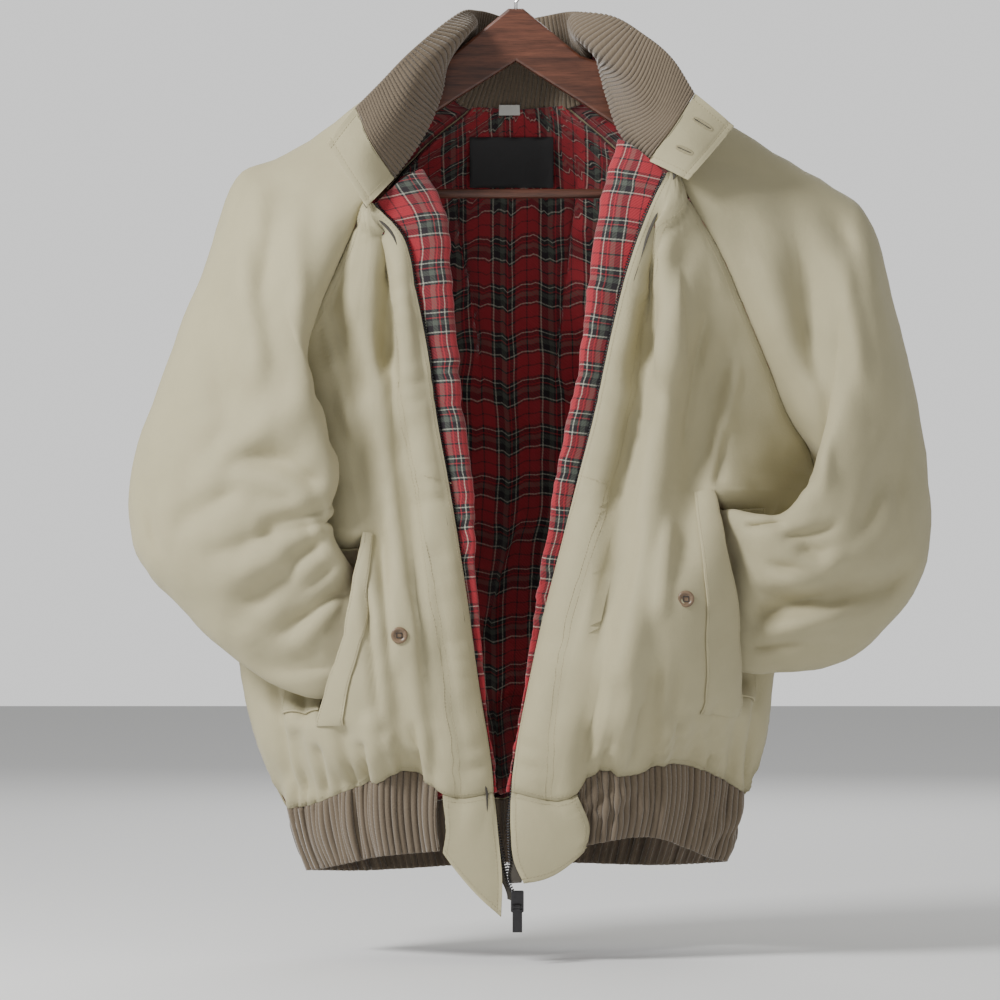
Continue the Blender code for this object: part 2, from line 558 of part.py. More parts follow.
def front_grid(side):
    """The front's points, and the second set of points past the pocket mouth."""
    heights = row_heights(side)
    mouth = mouth_shares(side, heights)
    block = BLOCK_SHARE[side]
    parts = [steps((0, .5, 1), (.5, 1, COLS_BLOCK - 1)), steps((0, 1, COLS_TO_MOUTH)),
             steps((0, 1, COLS_TO_SIDE))]
    width = np.linalg.norm(outer_edge(side, heights) - zip_edge(side, heights), axis=1)
    near = np.minimum(FACING_STRIP / width, block / 2)
    shares = np.concatenate([
        np.stack([np.interp(parts[0], [0, .5, 1], [0, share, block]) for share in near]),
        block + parts[1][None, 1:] * (mouth[:, None] - block),
        mouth[:, None] + parts[2][None, 1:] * (1 - mouth[:, None])], axis=1)
    points = front_surface(side, heights, shares)
    column = (COLS_BLOCK + COLS_TO_MOUTH) * FINE
    low, high = MOUTH_ROWS[side]
    plateau = ramp((heights - low) / PUSH_RAMP[0]) * ramp((high - heights) / PUSH_RAMP[1])
    fall = np.clip(1 - (shares - mouth[:, None]) / (1 - mouth[:, None]), 0, 1)
    push = MOUTH_PUSH[side] * plateau[:, None] * fall ** PUSH_FALL
    past = points[:, column].copy()
    past[:, 1] += push[:, column]
    pushed = points.copy()
    pushed[:, column + 1:, 1] += push[:, column + 1:]
    rows = (ROWS_HEM_TO_POCKET * FINE, (ROWS_HEM_TO_POCKET + ROWS_POCKET) * FINE)
    return pushed, (column, rows[0], rows[1], past)


def sleeve_ring0(side):
    """The armhole: round from the shoulder over the back, the underarm and the front."""
    neck = np.linspace(0, 1, NECK_STEPS * FINE + 1)
    table = NECK_SLEEVE[side]
    over = smooth([r[0] for r in table], [r[1:] for r in table], neck)
    seam = np.linspace(0, 1, ROWS_RAGLAN * FINE + 1)
    back = path(RAGLAN_BACK[side], seam)[::-1]
    front = path(RAGLAN_FRONT[side], seam)
    half = NECK_STEPS * FINE // 2
    return np.concatenate([over[half:-1], back[:-1], front[:-1], over[:half]])


def sleeve_ring(row, count):
    """One section of a sleeve as a loop of points."""
    v = dict(zip(SLEEVE_COLUMNS, row))
    angle = math.pi * np.interp(np.arange(count) / count * STEPS_ROUND, [0, BACK_STEP, v["turn"], STEPS_ROUND],
                                [0, .5, 1, 2])
    c, sn = np.cos(angle), np.sin(angle)
    toward = (1 - c) / 2
    back = np.clip(sn, 0, None)
    round_body = toward**2 * back / ROUND_BODY_PEAK
    x = (v["ox"] + v["ix"]) / 2 + (v["ox"] - v["ix"]) / 2 * c + math.copysign(v["outset"], v["ox"]) * round_body
    z = (v["oz"] + v["iz"]) / 2 + (v["oz"] - v["iz"]) / 2 * c - v["drop"] * round_body
    y = v["oy"] + (v["iy"] - v["oy"]) * np.where(sn > 0, toward ** v["late"], toward)
    y = y + v["back"] * back * (1 - v["thin"] * toward) - v["front"] * np.clip(-sn, 0, None)
    return np.stack([x, y, z], axis=-1)


def sleeve_grid(side):
    """All sections of a sleeve, armhole first."""
    first = sleeve_ring0(side)
    rings = np.array([first] + [sleeve_ring(row, len(first)) for row in SLEEVE[side]])
    keys = np.arange(len(rings))
    at = steps(*[(k, k + 1, n) for k, n in enumerate(SLEEVE_STEPS)])
    points = smooth(keys, rings.reshape(len(rings), -1), at).reshape(len(at), len(first), 3)
    angle = 2 * math.pi * np.arange(len(first)) / len(first)
    facing = np.clip(-np.sin(angle) * 1.6, 0, 1)[None]
    along = ramp(at / SLEEVE_FOLD_ENDS[0]) * ramp((SLEEVE_FOLD_ENDS[1] - at) / 1.5)
    points[..., 1] += fold_depth(points, SLEEVE_FOLDS[side]) * facing * along[:, None]
    return points


def back_grid():
    """The back, from the right side seam to the left one."""
    edges = []
    for side in ("right", "left"):
        heights = row_heights(side)
        low = path(SIDE_SEAM[side], np.clip(heights / .5, 0, 1))
        high = path(RAGLAN_BACK[side], np.clip((heights - .5) / .5, 0, 1))
        edges.append(np.where(heights[:, None] <= .5, low, high))
    heights = (row_heights("right") + row_heights("left")) / 2
    form = smooth([r[0] for r in BACK_FORM], [r[1:] for r in BACK_FORM], heights)
    s = steps((0, 1, COLS_BACK))
    points = edges[0][:, None] + (edges[1] - edges[0])[:, None] * s[None, :, None]
    arch = 1 - np.abs(2 * s - 1) ** 2.6
    depth = form[:, :1] * arch[None]
    edge_y = edges[0][:, None, 1] * (1 - s)[None] + edges[1][:, None, 1] * s[None]
    points[..., 1] = edge_y + (depth - edge_y * arch[None])
    neck_dip = NECK_BACK_DIP * np.sin(math.pi * s)[None] * ramp((heights - .9) / .1)[:, None]
    points[..., 2] -= neck_dip
    fade = ramp(s / .12) * ramp((1 - s) / .12)
    points[..., 1] -= fold_depth(points, BACK_FOLDS) * fade[None] * ramp((1 - heights) / .08)[:, None]
    return points


# ---------------------------------------------------------------- building
def unit_rows(vectors):
    return vectors / np.maximum(np.linalg.norm(vectors, axis=-1, keepdims=True), 1e-9)


def seam(edge, inside, beyond, unit):
    """Where two sheets are sewn together along an edge: how both rims face, and the way into the first sheet.

    inside and beyond are the next lines of points in the first and the second sheet; unit: the first's normals."""
    along = unit_rows(np.gradient(edge, axis=0))

    def away(line):
        step = line - edge
        return unit_rows(step - (step * along).sum(axis=-1, keepdims=True) * along)
    across = unit_rows(away(inside) - away(beyond))
    turn = np.sign((np.cross(along, away(inside)) * unit).sum(axis=-1, keepdims=True))
    return unit_rows(np.cross(along, across)) * turn, across


def build_shell(cloth):
    """Fronts, back and sleeves. Both sides of a seam share its points and the way their rims face, so they lie
    the seam's gap apart all along."""
    fronts = {side: front_grid(side) for side in ("right", "left")}
    sleeves = {side: sleeve_grid(side) for side in ("right", "left")}
    back = back_grid()
    under = len(row_heights("right")) - 1 - ROWS_RAGLAN * FINE
    half = NECK_STEPS * FINE // 2
    count = sleeves["right"].shape[1]
    unit_back = -normals(back)
    back_points = back.copy()
    back_rims = {}
    for side, edge, last, near in (("right", "col0", 0, 1), ("left", "col1", -1, -2)):
        points, slit = fronts[side]
        sleeve = sleeves[side]
        unit_front = out(side) * normals(points)
        on_back = np.arange(half, half + ROWS_RAGLAN * FINE + 1)[::-1]
        on_front = np.arange(half + ROWS_RAGLAN * FINE, count - half + 1)
        low, high = slice(0, under + 1), slice(under, None)
        side_rim, side_way = seam(points[low, -1], points[low, -2], back[low, near], unit_front[low, -1])
        front_rim, front_way = seam(points[high, -1], points[high, -2], sleeve[1, on_front], unit_front[high, -1])
        back_rim, back_way = seam(back[high, last], back[high, near], sleeve[1, on_back], unit_back[high, last])
        corner = unit_rows(side_rim[-1] + front_rim[0] + back_rim[0])
        side_rim[-1] = front_rim[0] = back_rim[0] = corner
        sleeve_rim = -out(side) * normals(sleeve, closed=True)[0]
        sleeve_way = np.zeros_like(sleeve_rim)
        sleeve_rim[on_front], sleeve_rim[on_back] = front_rim, back_rim
        sleeve_way[on_front], sleeve_way[on_back] = -front_way, -back_way
        sleeve_way[on_front[0]] = -unit_rows(front_way[0] + back_way[0])
        front_way[0] = unit_rows(side_way[-1] + front_way[0])
        back_way[0] = unit_rows(back_way[0] - side_way[-1])
        gap = SEAM_GAP / 2
        front_points, sleeve_points = points.copy(), sleeve.copy()
        front_points[:, -1] += gap * np.concatenate([side_way[:-1], front_way])
        back_points[:, last] += gap * np.concatenate([-side_way[:-1], back_way])
        sleeve_points[0] += gap * sleeve_way
        back_rims[edge] = np.concatenate([side_rim[:-1], back_rim])
        wall(f"front_{side}", front_points, SHELL_T, cloth, slit=slit, outward=out(side),
             edge_normals={"col1": np.concatenate([side_rim[:-1], front_rim])})
        wall(f"sleeve_{side}", sleeve_points, SHELL_T, cloth, closed=True, outward=-out(side),
             edge_normals={"row0": sleeve_rim})
    wall("back", back_points, SHELL_T, cloth, outward=-1, edge_normals=back_rims)
    return {"fronts": fronts, "sleeves": sleeves, "back": back}


def lay_on(grid, outward, distance):
    """A grid moved off the sheet it was taken from."""
    return grid + outward * normals(grid) * distance


def grid_rows(grid, at):
    """Rows of a grid read between its own rows."""
    low = np.clip(np.floor(at).astype(int), 0, len(grid) - 2)
    t = (at - low)[:, None, None]
    return grid[low] * (1 - t) + grid[low + 1] * t


def neck_line(shell):
    """The neck seam as it runs over the shell's own points, right zip to left zip."""
    half = NECK_STEPS * FINE // 2

    def sleeve_head(side):
        ring = shell["sleeves"][side][0]
        return np.concatenate([ring[-half:], ring[:half + 1]])
    fronts = {side: shell["fronts"][side][0][-1] for side in ("right", "left")}
    return np.concatenate([fronts["right"][:-1], sleeve_head("right")[:-1], shell["back"][-1][:-1],
                           sleeve_head("left")[::-1][:-1], fronts["left"][::-1]])


def share_nearest(points, target):
    """Share of a polyline's length at its point nearest to a target."""
    near = np.argmin(np.linalg.norm(points - np.asarray(target, float), axis=1))
    return chord_keys(points)[near]


def collar_base(shell, at):
    """Points of the neck seam between the two collar tabs, at shares of that stretch."""
    line = neck_line(shell)
    ends = [share_nearest(line, NECK_SLEEVE[side][1][1:]) for side in ("right", "left")]
    return polyline(line, ends[0] + (ends[1] - ends[0]) * at)


def collar_grid(shell, columns, rows):
    """Rows from the neck seam over the fold to the free edge."""
    at = np.linspace(0, 1, columns)
    base = collar_base(shell, at)
    table = np.array(COLLAR, float)
    fold = smooth(table[:, 0], table[:, 1:4], at)
    free = smooth(table[:, 0], table[:, 4:7], at)
    stack = np.stack([base, fold, free])
    grid = smooth([0, .5, 1], stack.reshape(3, -1), np.linspace(0, 1, rows)).reshape(rows, columns, 3)
    return pull_back(grid, ["row0"], COLLAR_SEAM_GAP)


def ribs(columns, amount, rows):
    """Every other column raised."""
    return np.tile(np.where(np.arange(columns) % 2, amount, 0), (rows, 1))


def build_collar(shell, rib, cloth):
    base = collar_base(shell, np.linspace(0, 1, 60))
    length = np.linalg.norm(np.diff(base, axis=0), axis=1).sum()
    columns = 2 * round(length / COLLAR_RIB_PITCH) + 1
    grid = collar_grid(shell, columns, 3)
    wall("collar_rib", grid, RIB_T, rib, outward=-1, raised=ribs(columns, RIB_RAISE, 3))
    for side, column in (("right", 0), ("left", -1)):
        ends = grid[:, column]
        low, high = (np.array(TAB[side][k], float) for k in ("low", "high"))
        q = np.linspace(0, 1, TAB_POINTS)
        far = np.linspace(low, high, TAB_POINTS)
        near = path(ends, q)
        tab = near[:, None] + (far - near)[:, None] * q[None, :, None]
        tab[..., 1] -= TAB_BOW * np.sin(math.pi * q)[None] + TAB_STAND * (1 - q)[:, None]
        wall(f"collar_tab_{side}", pull_back(tab, ["col0"], TAB_SEAM_GAP), TAB_T, cloth, outward=out(side))


def hem_line(shell):
    """The hem where the waistband is sewn on: right block, right side, back, left side, left block."""
    right, left = (shell["fronts"][side][0][0][COLS_BLOCK * FINE:] for side in ("right", "left"))
    return np.concatenate([right[:-1], shell["back"][0][:-1], left[::-1]])


def band_grid(shell, columns, rows):
    line = hem_line(shell)
    at = np.linspace(BAND_END, 1 - BAND_END, columns)
    top = polyline(line, at)
    table = np.array(BAND_BOTTOM, float)
    low = smooth(table[:, 0], table[:, 1:], at)
    bottom = top.copy()
    bottom[:, :2] *= low[:, 1:2]
    bottom[:, 2] = low[:, 0]
    drop = np.linspace(0, 1, rows)[:, None, None]
    grid = top + (bottom - top) * drop
    bulge = BAND_BULGE * np.sin(math.pi * drop[..., 0])
    away = grid[..., :2] / np.linalg.norm(grid[..., :2], axis=-1, keepdims=True)
    grid[..., :2] += away * bulge[..., None]
    return pull_back(grid, ["row0"], BAND_SEAM_GAP)


def build_band(shell, rib):
    line = hem_line(shell)
    length = np.linalg.norm(np.diff(line, axis=0), axis=1).sum()
    columns = 2 * round(length / BAND_RIB_PITCH) + 1
    wall("waistband_rib", band_grid(shell, columns, 2), RIB_T, rib, outward=1, raised=ribs(columns, RIB_RAISE, 2))


def block_grid(shell, side):
    """A hem block, its top edge on the front's hem; columns run from the zip outwards."""
    top = shell["fronts"][side][0][0][:COLS_BLOCK * FINE + 1]
    w = np.linspace(0, 1, BLOCK_ROWS)
    lines = {}
    for edge, table in BLOCK[side].items():
        flat = path([(x, 0, z) for x, z in table], w)
        flat[:, 1] = BLOCK_Y[0] + (BLOCK_Y[1] - BLOCK_Y[0]) * w
        lines[edge] = flat
    q = np.linspace(0, 1, len(top))
    grid = lines["zip"][:, None] + (lines["outer"] - lines["zip"])[:, None] * q[None, :, None]
    grid += (top - grid[0])[None] * (1 - ramp(w * BLOCK_EASE))[:, None, None]
    grid[..., 2] += BLOCK_SAG[side] * np.sin(math.pi * q)[None] * w[:, None]
    grid[..., 1] -= BLOCK_BULGE * np.sin(math.pi * w)[:, None] * np.cos(math.pi * (q - .5) / 2)[None]
    return grid


def build_hem_blocks(shell, cloth):
    for side in ("right", "left"):
        grid = pull_back(block_grid(shell, side), ["row0"], BLOCK_SEAM_GAP)
        wall(f"hem_block_{side}", grid, BLOCK_T, cloth, outward=-out(side))


def build_cuffs(shell, rib):
    """Knitted cuffs, inside the pockets."""
    for side in ("right", "left"):
        last = shell["sleeves"][side][-1]
        around = np.concatenate([last, last[:1]])
        columns = 2 * len(last)
        at = np.interp(np.arange(columns) / 2, np.arange(len(around)), np.arange(len(around)))
        near = grid_rows(around[:, None], at)[:, 0]
        ox, oz, ix, iz = CUFF_END[side]
        middle, half = CUFF_DEPTH
        angle = 2 * math.pi * np.arange(columns) / columns
        far = np.stack([(ox + ix) / 2 + (ox - ix) / 2 * np.cos(angle),
                        middle + half * np.sin(angle),
                        (oz + iz) / 2 + (oz - iz) / 2 * np.cos(angle)], axis=-1)
        grid = pull_back(np.stack([near, far]), ["row0"], CUFF_SEAM_GAP)
        wall(f"cuff_{side}", grid, RIB_T, rib, closed=True, outward=-out(side),
             raised=ribs(columns, RIB_RAISE * .8, 2))


def build_pockets(shell, cloth, horn):
    """Welt, open flap and button of each pocket, laid on the front."""
    for side in ("right", "left"):
        points, (column, low, high, past) = shell["fronts"][side]
        lift = SHELL_T / 2 + LAY_GAP + WELT_T / 2
        strip = points[low:high + 1, column - FINE:column + 1]
        wall(f"pocket_welt_{side}", lay_on(strip, out(side), lift), WELT_T, cloth, outward=out(side))
        under = points[low:high + 1, column:column + 2 * FINE + 1].copy()
        under[:, 0] = past[low:high + 1]
        at = np.concatenate([[FLAP_INSET], np.arange(1, ROWS_POCKET * FINE), [ROWS_POCKET * FINE - FLAP_INSET]])
        flap = lay_on(grid_rows(under, at), out(side), SHELL_T / 2 + FLAP_GAP + FLAP_T / 2)
        wall(f"pocket_flap_{side}", pull_back(flap, ["col0"], 2), FLAP_T, cloth, outward=out(side))
        x, z = BUTTON_AT[side]
        front = BVHTree.FromObject(bpy.data.objects[f"front_{side}"], bpy.context.evaluated_depsgraph_get())
        rim = BUTTON_D / 2
        hits = [front.ray_cast(Vector(((x + dx) * MM, -1, (z + dz) * MM)), Vector((0, 1, 0)))[0]
                for dx, dz in ((0, 0), (rim, 0), (-rim, 0), (0, rim), (0, -rim))]
        face = min(hit.y for hit in hits) / MM - LAY_GAP
        profile = [(r * BUTTON_D, -depth * BUTTON_T) for r, depth in reversed(BUTTON_PROFILE)]
        turned(f"pocket_button_{side}", profile, BUTTON_SIDES, (x, face, z), horn)


def turned(name, profile, steps_round, place, finish):
    """A piece turned about the Y axis from (radius, y) points, back to front."""
    mesh = bmesh.new()
    line = [mesh.verts.new((r * MM, y * MM, 0)) for r, y in profile]
    for a, b in zip(line, line[1:]):
        mesh.edges.new((a, b))
    data = bpy.data.meshes.new(name)
    mesh.to_mesh(data)
    mesh.free()
    data.materials.append(finish)
    item = bpy.data.objects.new(name, data)
    collection.objects.link(item)
    item.location = Vector(place) * MM
    screw = item.modifiers.new("turn", "SCREW")
    screw.axis = "Y"
    screw.steps = screw.render_steps = steps_round
    screw.use_merge_vertices = True
    screw.merge_threshold = .00001
    screw.use_normal_calculate = True
    return item


def quilting(points):
    """How far the padding stands up between two families of waved quilting lines."""
    wave = QUILT_WAVE * np.sin(2 * math.pi * points[..., 0] / QUILT_LENGTH)
    rise = np.abs(np.sin(math.pi * (points[..., 2] + wave) / QUILT_PITCH))
    cross = np.abs(np.sin(math.pi * (points[..., 2] - wave) / QUILT_PITCH))
    return QUILT_RAISE * np.sqrt(rise * cross)


def build_linings(shell, tartan):
    back = shell["back"]
    rows, cols = back.shape[:2]
    u = np.linspace(LINING_INSET[0], cols - 1 - LINING_INSET[0], LINING_COLS)
    v = np.linspace(LINING_INSET[1], rows - 1, LINING_ROWS)
    off = SHELL_T / 2 + LAY_GAP + LINING_T / 2
    depth = off + LINING_EASE * ramp((rows - 1 - np.arange(rows)) / LINING_EASE_ROWS)[:, None, None]
    inside = back + normals(back) * depth
    inside = grid_rows(inside, v)
    inside = np.swapaxes(grid_rows(np.swapaxes(inside, 0, 1), u), 0, 1)
    inside[-1, :, 2] -= LINING_BELOW_NECK
    wall("lining_back", inside, LINING_T, tartan, outward=1, raised=quilting(inside))
    for side in ("right", "left"):
        wall(f"lining_front_{side}", lining_roll(shell, side), LINING_T, tartan, outward=-out(side))


def front_edge(points):
    """Along a front's zip edge: the direction into the cloth, and the direction behind it."""
    step = points[:, 1] - points[:, 0]
    step = unit_rows(step)
    behind = normals(points[:, :2])[:, 0]
    return step, behind * np.where(behind[:, 1:2] > 0, 1, -1)


def lining_roll(shell, side):
    """The front lining: from behind the zip it rolls towards the middle, turns and runs back inside."""
    points = shell["fronts"][side][0]
    heights = row_heights(side)
    table = np.array(LINING_ROLL[side], float)
    show, reach = smooth(table[:, 0], table[:, 1:], heights).T
    edge = points[:, 0]
    inward = -out(side)
    depth = SHELL_T / 2 + LAY_GAP + TAPE_T + LAY_GAP + LINING_T / 2
    turn = np.minimum(LINING_TURN, show * .4 + 1.6)
    stations = [
        (0 * show - 5, .7),
        (0 * show + ZIP_EDGE, .7),
        (show * .5 + ZIP_EDGE + .8, -turn * .4),
        (show * .92 + ZIP_EDGE + .6, turn * .2),
        (show + ZIP_EDGE + .6, turn),
        (show * .8 + ZIP_EDGE, turn * 1.9),
        (-reach, turn * 2 + 1),
    ]
    step, behind = front_edge(points)
    grid = np.repeat(edge[:, None], len(stations), axis=1)
    for k, (across, back) in enumerate(stations):
        across, back = (np.broadcast_to(v, len(edge))[:, None] for v in (across, back))
        level = np.clip(across - ZIP_EDGE, 0, None)
        grid[:, k] += level * np.array([inward, 0, 0]) - (across - level) * step + behind * (depth + back)
    rise = ramp((heights - .8) / .2) * LINING_RISE
    rise = rise[:, None] * np.clip((grid[..., 0] - edge[:, None, 0]) * inward / LINING_SHOW, 0, 1)
    grid[..., 2] += rise
    grid[..., 1] += rise * LINING_LEAN
    return grid


def build_label(shell, label_cloth, tag_cloth):
    """The neck label and the size tag, both bare, on the back lining."""
    lining = BVHTree.FromObject(bpy.data.objects["lining_back"], bpy.context.evaluated_depsgraph_get())
    rows, cols = LABEL_POINTS
    for name, (x, z, wide, tall), finish in (("neck_label", LABEL, label_cloth), ("size_tag", SIZE_TAG, tag_cloth)):
        grid = np.zeros((rows, cols, 3))
        for i, gz in enumerate(np.linspace(z - tall / 2, z + tall / 2, rows)):
            for j, gx in enumerate(np.linspace(x - wide / 2, x + wide / 2, cols)):
                hit = lining.ray_cast(Vector((gx * MM, -.02, min(gz, LINING_TOP) * MM)), Vector((0, 1, 0)))[0]
                grid[i, j] = (gx, hit.y / MM - LABEL_OFF, gz)
        wall(name, grid, LABEL_T, finish, outward=1)


def build_zip(shell, tape_cloth, metal):
    """Both tapes, the slider with its bridge, and the pull tab on the bridge."""
    for side in ("right", "left"):
        front = shell["fronts"][side][0]
        block = block_grid(shell, side)
        sheet = np.concatenate([block[::-1, :2][:-1], front[:, :2]])
        sheet = sheet[sheet[:, 0, 2] > ZIP_END_Z]
        edge = sheet[:, 0]
        step, behind = front_edge(sheet)
        stand = np.where(edge[:, 2] < HEM_Z + TAPE_STEP, BLOCK_T, SHELL_T) / 2 + LAY_GAP + TAPE_T / 2
        strip = np.linalg.norm(sheet[:, 1] - edge, axis=-1, keepdims=True)
        hold = np.minimum(TAPE_WIDTH - ZIP_EDGE, strip * TAPE_HOLD)
        grid = np.stack([edge - step * (ZIP_EDGE - TEETH_GAP), edge, edge + step * hold], axis=1)
        grid += (behind * stand[:, None])[:, None]
        wall(f"zip_tape_{side}", grid, TAPE_T, tape_cloth, outward=out(side))
    x, y, z = SLIDER_AT
    wide, deep, tall = SLIDER_SIZE
    body = box("zip_slider", (x, y, z), SLIDER_SIZE, metal, bevel=1.2)
    pivot = (x, y - deep / 2 - BRIDGE_STAND, z - tall * BRIDGE_DOWN)
    bar = rod("bridge_bar", (x - BRIDGE_W / 2, *pivot[1:]), (x + BRIDGE_W / 2, *pivot[1:]), BRIDGE_D, 12, metal)
    post_y = y - deep / 2 + POST_SINK - POST_SIZE[1] / 2
    posts = [box(f"bridge_post_{k}", (x + k * BRIDGE_W / 2, post_y, pivot[2]), POST_SIZE, metal) for k in (-1, 1)]
    for piece in (bar, *posts):
        combine(body, piece, "UNION")
    _, pull_t, pull_l = PULL_SIZE
    plate = box("zip_pull", (x, pivot[1], pivot[2] - pull_l / 2 - PULL_DROP), PULL_SIZE, metal, bevel=.5)
    eye = rod("pull_eye", (x - EYE_W / 2, *pivot[1:]), (x + EYE_W / 2, *pivot[1:]), EYE_D, 16, metal)
    neck_z = pivot[2] - (PULL_DROP + BRIDGE_D) / 2
    neck = box("pull_neck", (x, pivot[1], neck_z), (EYE_W, pull_t, PULL_DROP), metal)
    hole = rod("pull_hole", (x - EYE_W, *pivot[1:]), (x + EYE_W, *pivot[1:]), BRIDGE_D + EYE_PLAY, 16, metal)
    combine(plate, eye, "UNION")
    combine(plate, neck, "UNION")
    combine(plate, hole, "DIFFERENCE")
    set_origin(plate, pivot)


def set_origin(item, place):
    """Moves an object's origin to a place without moving its shape."""
    target = Vector(place) * MM
    shift = target - item.location
    for vertex in item.data.vertices:
        vertex.co -= shift
    item.location = target


def box(name, centre, size, finish, bevel=0):
    mesh = bmesh.new()
    bmesh.ops.create_cube(mesh, size=1)
    bmesh.ops.scale(mesh, vec=Vector(size) * MM, verts=mesh.verts)
    if bevel:
        bmesh.ops.bevel(mesh, geom=mesh.edges[:], offset=bevel * MM, segments=2, profile=.5, affect="EDGES")
    item = finish_mesh(name, mesh, finish)
    item.location = Vector(centre) * MM
    return item


def rod(name, start, end, diameter, sides, finish):
    """A straight round bar between two points."""
    a, b = Vector(start) * MM, Vector(end) * MM
    mesh = bmesh.new()
    bmesh.ops.create_cone(mesh, cap_ends=True, segments=sides, radius1=diameter / 2 * MM, radius2=diameter / 2 * MM,
                          depth=(b - a).length)
    bmesh.ops.rotate(mesh, cent=(0, 0, 0), matrix=(b - a).to_track_quat("Z", "Y").to_matrix(), verts=mesh.verts)
    item = finish_mesh(name, mesh, finish)
    item.location = (a + b) / 2
    return item


def combine(item, tool, operation):
    """Applies a Boolean and removes the tool."""
    modifier = item.modifiers.new("combine", "BOOLEAN")
    modifier.operation = operation
    modifier.object = tool
    bpy.context.view_layer.update()
    data = bpy.data.meshes.new_from_object(item.evaluated_get(bpy.context.evaluated_depsgraph_get()))
    item.modifiers.clear()
    item.data = data
    bpy.data.objects.remove(tool)


def build_hanger(wood, steel):
    """A flat wooden hanger whose arms carry the shoulders, its bar, and its hook."""
    depsgraph = bpy.context.evaluated_depsgraph_get()
    cloths = {side: BVHTree.FromObject(bpy.data.objects[f"sleeve_{side}"], depsgraph) for side in ("right", "left")}
    outline = []
    for side in ("left", "right"):
        sign = out(side)
        upper = []
        for x in HANGER_STATIONS:
            drop = []
            for y in (-HANGER_T / 2, -HANGER_T / 4, 0, HANGER_T / 4, HANGER_T / 2):
                hit = cloths[side].ray_cast(Vector((sign * x * MM, y * MM, -.5)), Vector((0, 0, 1)))[0]
                while hit is not None and hit.z < HANGER_LOWEST_CLOTH * MM:
                    hit = cloths[side].ray_cast(hit + Vector((0, 0, 1e-5)), Vector((0, 0, 1)))[0]
                drop.append(hit.z / MM)
            upper.append((x, min(drop) - CLOTH_ON_WOOD))
        above, below = HANGER_LUG
        corner_x, corner_z = HANGER_LUG_CORNER
        lug = [(HANGER_END_X, upper[-1][1] - HANGER_END_DROP), (HANGER_END_X, BAR_Z - corner_z),
               (HANGER_END_X - corner_x, BAR_Z - below), (HANGER_LUG_X, BAR_Z - below),
               (HANGER_LUG_X, BAR_Z + above)]
        arm = [(sign * x, z) for x, z in [(HANGER_NECK_W, HANGER_PEAK), *HANGER_TOP, *upper, *lug, *HANGER_BELOW]]
        outline += arm if side == "left" else arm[::-1]
        if side == "left":
            outline.append((0, HANGER_NOTCH))
    mesh = bmesh.new()
    face = mesh.faces.new([mesh.verts.new((x * MM, -HANGER_T / 2 * MM, z * MM)) for x, z in outline])
    grown = bmesh.ops.extrude_face_region(mesh, geom=[face])
    bmesh.ops.translate(mesh, vec=(0, HANGER_T * MM, 0),
                        verts=[v for v in grown["geom"] if isinstance(v, bmesh.types.BMVert)])
    bmesh.ops.recalc_face_normals(mesh, faces=mesh.faces)
    rims = [e for e in mesh.edges if abs(e.verts[0].co.y - e.verts[1].co.y) < 1e-6]
    bmesh.ops.bevel(mesh, geom=rims, offset=HANGER_BEVEL * MM, segments=2, profile=.5, affect="EDGES")
    finish_mesh("hanger_wood", mesh, wood)
    reach = HANGER_LUG_X + BAR_SINK
    bar = rod("hanger_bar", (-reach, 0, BAR_Z), (reach, 0, BAR_Z), BAR_D, 16, wood)
    combine(bpy.data.objects["hanger_wood"], bar, "UNION")
    build_hook(steel)


def build_hook(steel):
    """Round wire: a stem on the wood's peak that swings out and arcs over the origin."""
    radius = HOOK_R + HOOK_WIRE / 2
    centre = -HOOK_R
    points = [(x, HANGER_PEAK + LAY_GAP + z) for x, z in HOOK_STEM]
    arc = [math.radians(a) for a in HOOK_ARC]
    points += [(radius * math.cos(a), centre + radius * math.sin(a)) for a in arc]
    data = bpy.data.curves.new("hanger_hook", "CURVE")
    data.dimensions = "3D"
    data.bevel_depth = HOOK_WIRE / 2 * MM
    data.bevel_resolution = 2
    data.use_fill_caps = True
    spline = data.splines.new("POLY")
    spline.points.add(len(points) - 1)
    for point, (x, z) in zip(spline.points, points):
        point.co = (x * MM, 0, z * MM, 1)
    item = bpy.data.objects.new("hanger_hook", data)
    collection.objects.link(item)
    data.materials.append(steel)


def main():
    cloth = material("olive_khaki_poplin", (.50, .46, .31))
    rib = material("taupe_rib_knit", (.16, .13, .09))
    tartan = material("red_tartan", (.30, .03, .05))
    wood = material("brown_wood", (.13, .04, .02), .45)
    steel = material("steel_wire", (.6, .6, .6), .25, 1)
    metal = material("dark_metal", (.18, .17, .16), .35, 1)
    tape = material("zip_tape", (.12, .11, .09))
    horn = material("brown_button", (.15, .09, .05), .4)
    shell = build_shell(cloth)
    build_collar(shell, rib, cloth)
    build_band(shell, rib)
    build_hem_blocks(shell, cloth)
    build_cuffs(shell, rib)
    build_pockets(shell, cloth, horn)
    build_linings(shell, tartan)
    build_label(shell, material("label_black", (.01, .01, .01)), material("tag_white", (.7, .7, .68)))
    build_zip(shell, tape, metal)
    build_hanger(wood, steel)


for old in list(bpy.data.objects):
    bpy.data.objects.remove(old)
collection = bpy.data.collections.new("bomber_jacket")
bpy.context.scene.collection.children.link(collection)
main()
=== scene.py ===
"""Looks of a zip-front bomber jacket on a wooden hanger, laid out as an add-on and run as a script.

Each operator makes one group of pieces on the packed frame. Lengths in the tables are in millimetres, in the
frame's own axes: +Z up, the front faces -Y, +X is the wearer's left. Meshes are made in metres.
"""

